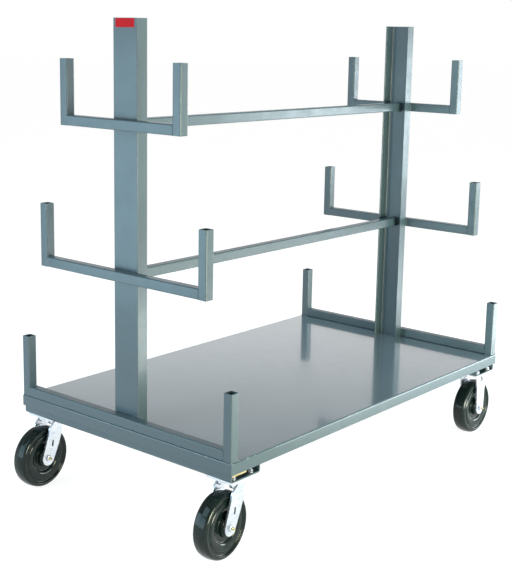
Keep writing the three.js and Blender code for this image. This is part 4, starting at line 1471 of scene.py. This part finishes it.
class CART_OT_axles(bpy.types.Operator):
    """Makes the axle bolts, their nuts and the grease fittings in their heads"""

    bl_idname = "cart.axles"
    bl_label = "Axles"

    def execute(self, context):
        settings = context.scene.cart_casters
        face = settings.fork_gap / 2 + settings.fork_plate + SEAT_GAP
        head_height, nut_height, shaft_overlap, tip_length = 6 * MM, 8 * MM, 1 * MM, 4 * MM
        head = hex_block(settings.axle_flats, face, face + head_height, False, True)
        shaft = shank(settings.axle_radius, -face - nut_height, face + shaft_overlap)
        tip = threaded(settings.axle_radius, -face - nut_height - tip_length, -face)
        bolt = gathered(head, shaft, tip)
        nut = hex_block(settings.axle_flats, -face - nut_height, -face)
        fitting = grease_fitting_mesh(face + head_height)
        outward = Matrix.Rotation(math.pi / 2, 4, "X")
        for caster in CASTERS:
            at = caster_frame(caster) @ outward
            body = caster if caster in SWIVELS else "frame"
            add_piece(f"axle_{caster}", bolt.copy(), body, "zinc", at, f"axle_bolt_{caster}")
            add_piece(f"lock_nut_{caster}", nut.copy(), body, "yellow_zinc", at, f"axle_nut_{caster}")
            add_piece(f"grease_fitting_{caster}", fitting.copy(), body, "yellow_zinc", at)
        return {"FINISHED"}


# Studio

def add_camera(settings):
    camera = bpy.data.objects.new("camera", bpy.data.cameras.new("camera"))
    bpy.context.scene.collection.objects.link(camera)
    spot, turn = Vector(settings.camera_place), settings.camera_roll
    ahead = (Vector(settings.camera_aim) - spot).normalized()
    right = ahead.cross(Z).normalized()
    up = right.cross(ahead)
    level_right = right * math.cos(turn) + up * math.sin(turn)
    level_up = up * math.cos(turn) - right * math.sin(turn)
    axes = Matrix((level_right, level_up, -ahead)).transposed().to_4x4()
    camera.matrix_world = Matrix.Translation(spot) @ axes
    camera.data.sensor_width = 36
    camera.data.lens = settings.camera_lens
    camera.data.shift_x, camera.data.shift_y = settings.camera_shift
    camera.data.clip_end = 100
    bpy.context.scene.camera = camera


# Each soft box: where it stands, what it faces, its width and height, and its colour
SOFT_BOXES = {
    "front": ((-0.55, -3.6, 0.65), (-0.55, 0, 0.7), 1.6, 1.2, (0.98, 1.0, 0.74)),
    "near": ((-2.6, 0.9, 0.8), (-0.7, 0, 0.8), 2.2, 1.3, (0.50, 0.84, 1.0)),
    "high": ((-2.5, 0.7, 2.3), (-0.7, 0, 0.9), 1.4, 1.4, (0.55, 0.82, 1.0)),
    "right": ((3.8, -2.5, 0.95), (0.8, 0, 0.8), 1.6, 1.0, (0.80, 0.93, 1.0)),
    "low": ((1.3, -1.15, 0.14), (1.3, -0.45, 0.43), 2.2, 0.28, (0.95, 1.0, 1.0)),
    "top": ((0.9, 0.2, 3.8), (0.7, 0, 0.3), 2.6, 1.8, (0.60, 0.93, 1.0)),
}


def add_soft_box(name, power, spot, aim, width, height, colour):
    light = bpy.data.lights.new(name, "AREA")
    light.shape = "RECTANGLE"
    light.size, light.size_y = width, height
    light.energy = power
    light.color = colour
    box = bpy.data.objects.new(name, light)
    bpy.context.scene.collection.objects.link(box)
    box.location = spot
    box.rotation_euler = (Vector(aim) - Vector(spot)).to_track_quat("-Z", "Y").to_euler()


def add_sky(horizon, band, zenith):
    """A white sky, brighter a little above the horizon and dim overhead."""
    world = bpy.data.worlds.new("studio")
    bpy.context.scene.world = world
    world.use_nodes = True
    nodes, links = world.node_tree.nodes, world.node_tree.links
    background = nodes["Background"]
    background.inputs["Strength"].default_value = band
    direction = nodes.new("ShaderNodeTexCoord")
    axes = nodes.new("ShaderNodeSeparateXYZ")
    height = nodes.new("ShaderNodeValToRGB")
    height.color_ramp.interpolation = "EASE"
    stops = height.color_ramp.elements
    for height_share, strength in ((0.07, horizon), (0.16, band), (0.22, band), (0.41, zenith)):
        share = strength / band
        stops.new(height_share).color = (share, share, share, 1)
    stops.remove(stops[0])
    stops.remove(stops[-1])
    links.new(direction.outputs["Generated"], axes.inputs[0])
    links.new(axes.outputs["Z"], height.inputs["Fac"])
    links.new(height.outputs["Color"], background.inputs["Color"])


def add_floor(glow):
    """A pale lit floor, so that the cart casts only faint shadows on it."""
    reach, bottom, top = 60.0, -2 * MM, -0.2 * MM
    mesh = prism(arc((0, 0), reach, 0, 360, 64)[:-1], bottom, top)
    paper = Finish("pale paper", (0.36, 0.36, 0.36), 0.9)
    paper.shader.inputs["Specular IOR Level"].default_value = 0.0
    paper.shader.inputs["Emission Color"].default_value = (1, 1, 1, 1)
    paper.shader.inputs["Emission Strength"].default_value = glow
    paper.tint((0.34, 0.34, 0.34), paper.ramp(paper.noise(3.0, 3), 0.4, 0.7, 0.0, 0.5))
    mesh.materials.append(paper.material)
    floor = bpy.data.objects.new("floor", mesh)
    bpy.context.scene.collection.objects.link(floor)


class CART_OT_studio(bpy.types.Operator):
    """Makes the pale floor, the soft boxes and the camera"""

    bl_idname = "cart.studio"
    bl_label = "Studio"

    def execute(self, context):
        settings = context.scene.cart_studio
        add_camera(settings)
        add_floor(settings.floor_glow)
        add_sky(settings.horizon_power, settings.band_power, settings.zenith_power)
        for name, box in SOFT_BOXES.items():
            add_soft_box(name, getattr(settings, f"{name}_power"), *box)
        context.scene.view_settings.view_transform = "Standard"
        return {"FINISHED"}


class CART_PT_cart(bpy.types.Panel):
    """Lists the cart's pieces in the sidebar"""

    bl_label = "Long Material Cart"
    bl_idname = "CART_PT_cart"
    bl_space_type = "VIEW_3D"
    bl_region_type = "UI"
    bl_category = "Cart"

    def draw(self, context):
        for operator in OPERATORS:
            self.layout.operator(operator.bl_idname)


OPERATORS = (
    CART_OT_studio, CART_OT_deck, CART_OT_uprights, CART_OT_tubes, CART_OT_welds, CART_OT_label,
    CART_OT_strip, CART_OT_mounting_bolts, CART_OT_plates, CART_OT_forks, CART_OT_wheels, CART_OT_axles,
)
SETTINGS = {
    "cart_steel": CartSteelSettings,
    "cart_casters": CartCasterSettings,
    "cart_finish": CartFinishSettings,
    "cart_studio": CartStudioSettings,
}


def register():
    for settings in SETTINGS.values():
        bpy.utils.register_class(settings)
    for name, settings in SETTINGS.items():
        setattr(bpy.types.Scene, name, PointerProperty(type=settings))
    for operator in OPERATORS:
        bpy.utils.register_class(operator)
    bpy.utils.register_class(CART_PT_cart)


def unregister():
    bpy.utils.unregister_class(CART_PT_cart)
    for operator in reversed(OPERATORS):
        bpy.utils.unregister_class(operator)
    for name in SETTINGS:
        delattr(bpy.types.Scene, name)
    for settings in reversed(list(SETTINGS.values())):
        bpy.utils.unregister_class(settings)


def main():
    register()
    bpy.ops.cart.studio()
    bpy.ops.cart.deck()
    bpy.ops.cart.uprights()
    bpy.ops.cart.tubes()
    bpy.ops.cart.welds()
    bpy.ops.cart.label()
    bpy.ops.cart.strip()
    bpy.ops.cart.mounting_bolts()
    bpy.ops.cart.plates()
    bpy.ops.cart.forks()
    bpy.ops.cart.wheels()
    bpy.ops.cart.axles()


if __name__ == "__main__":
    main()
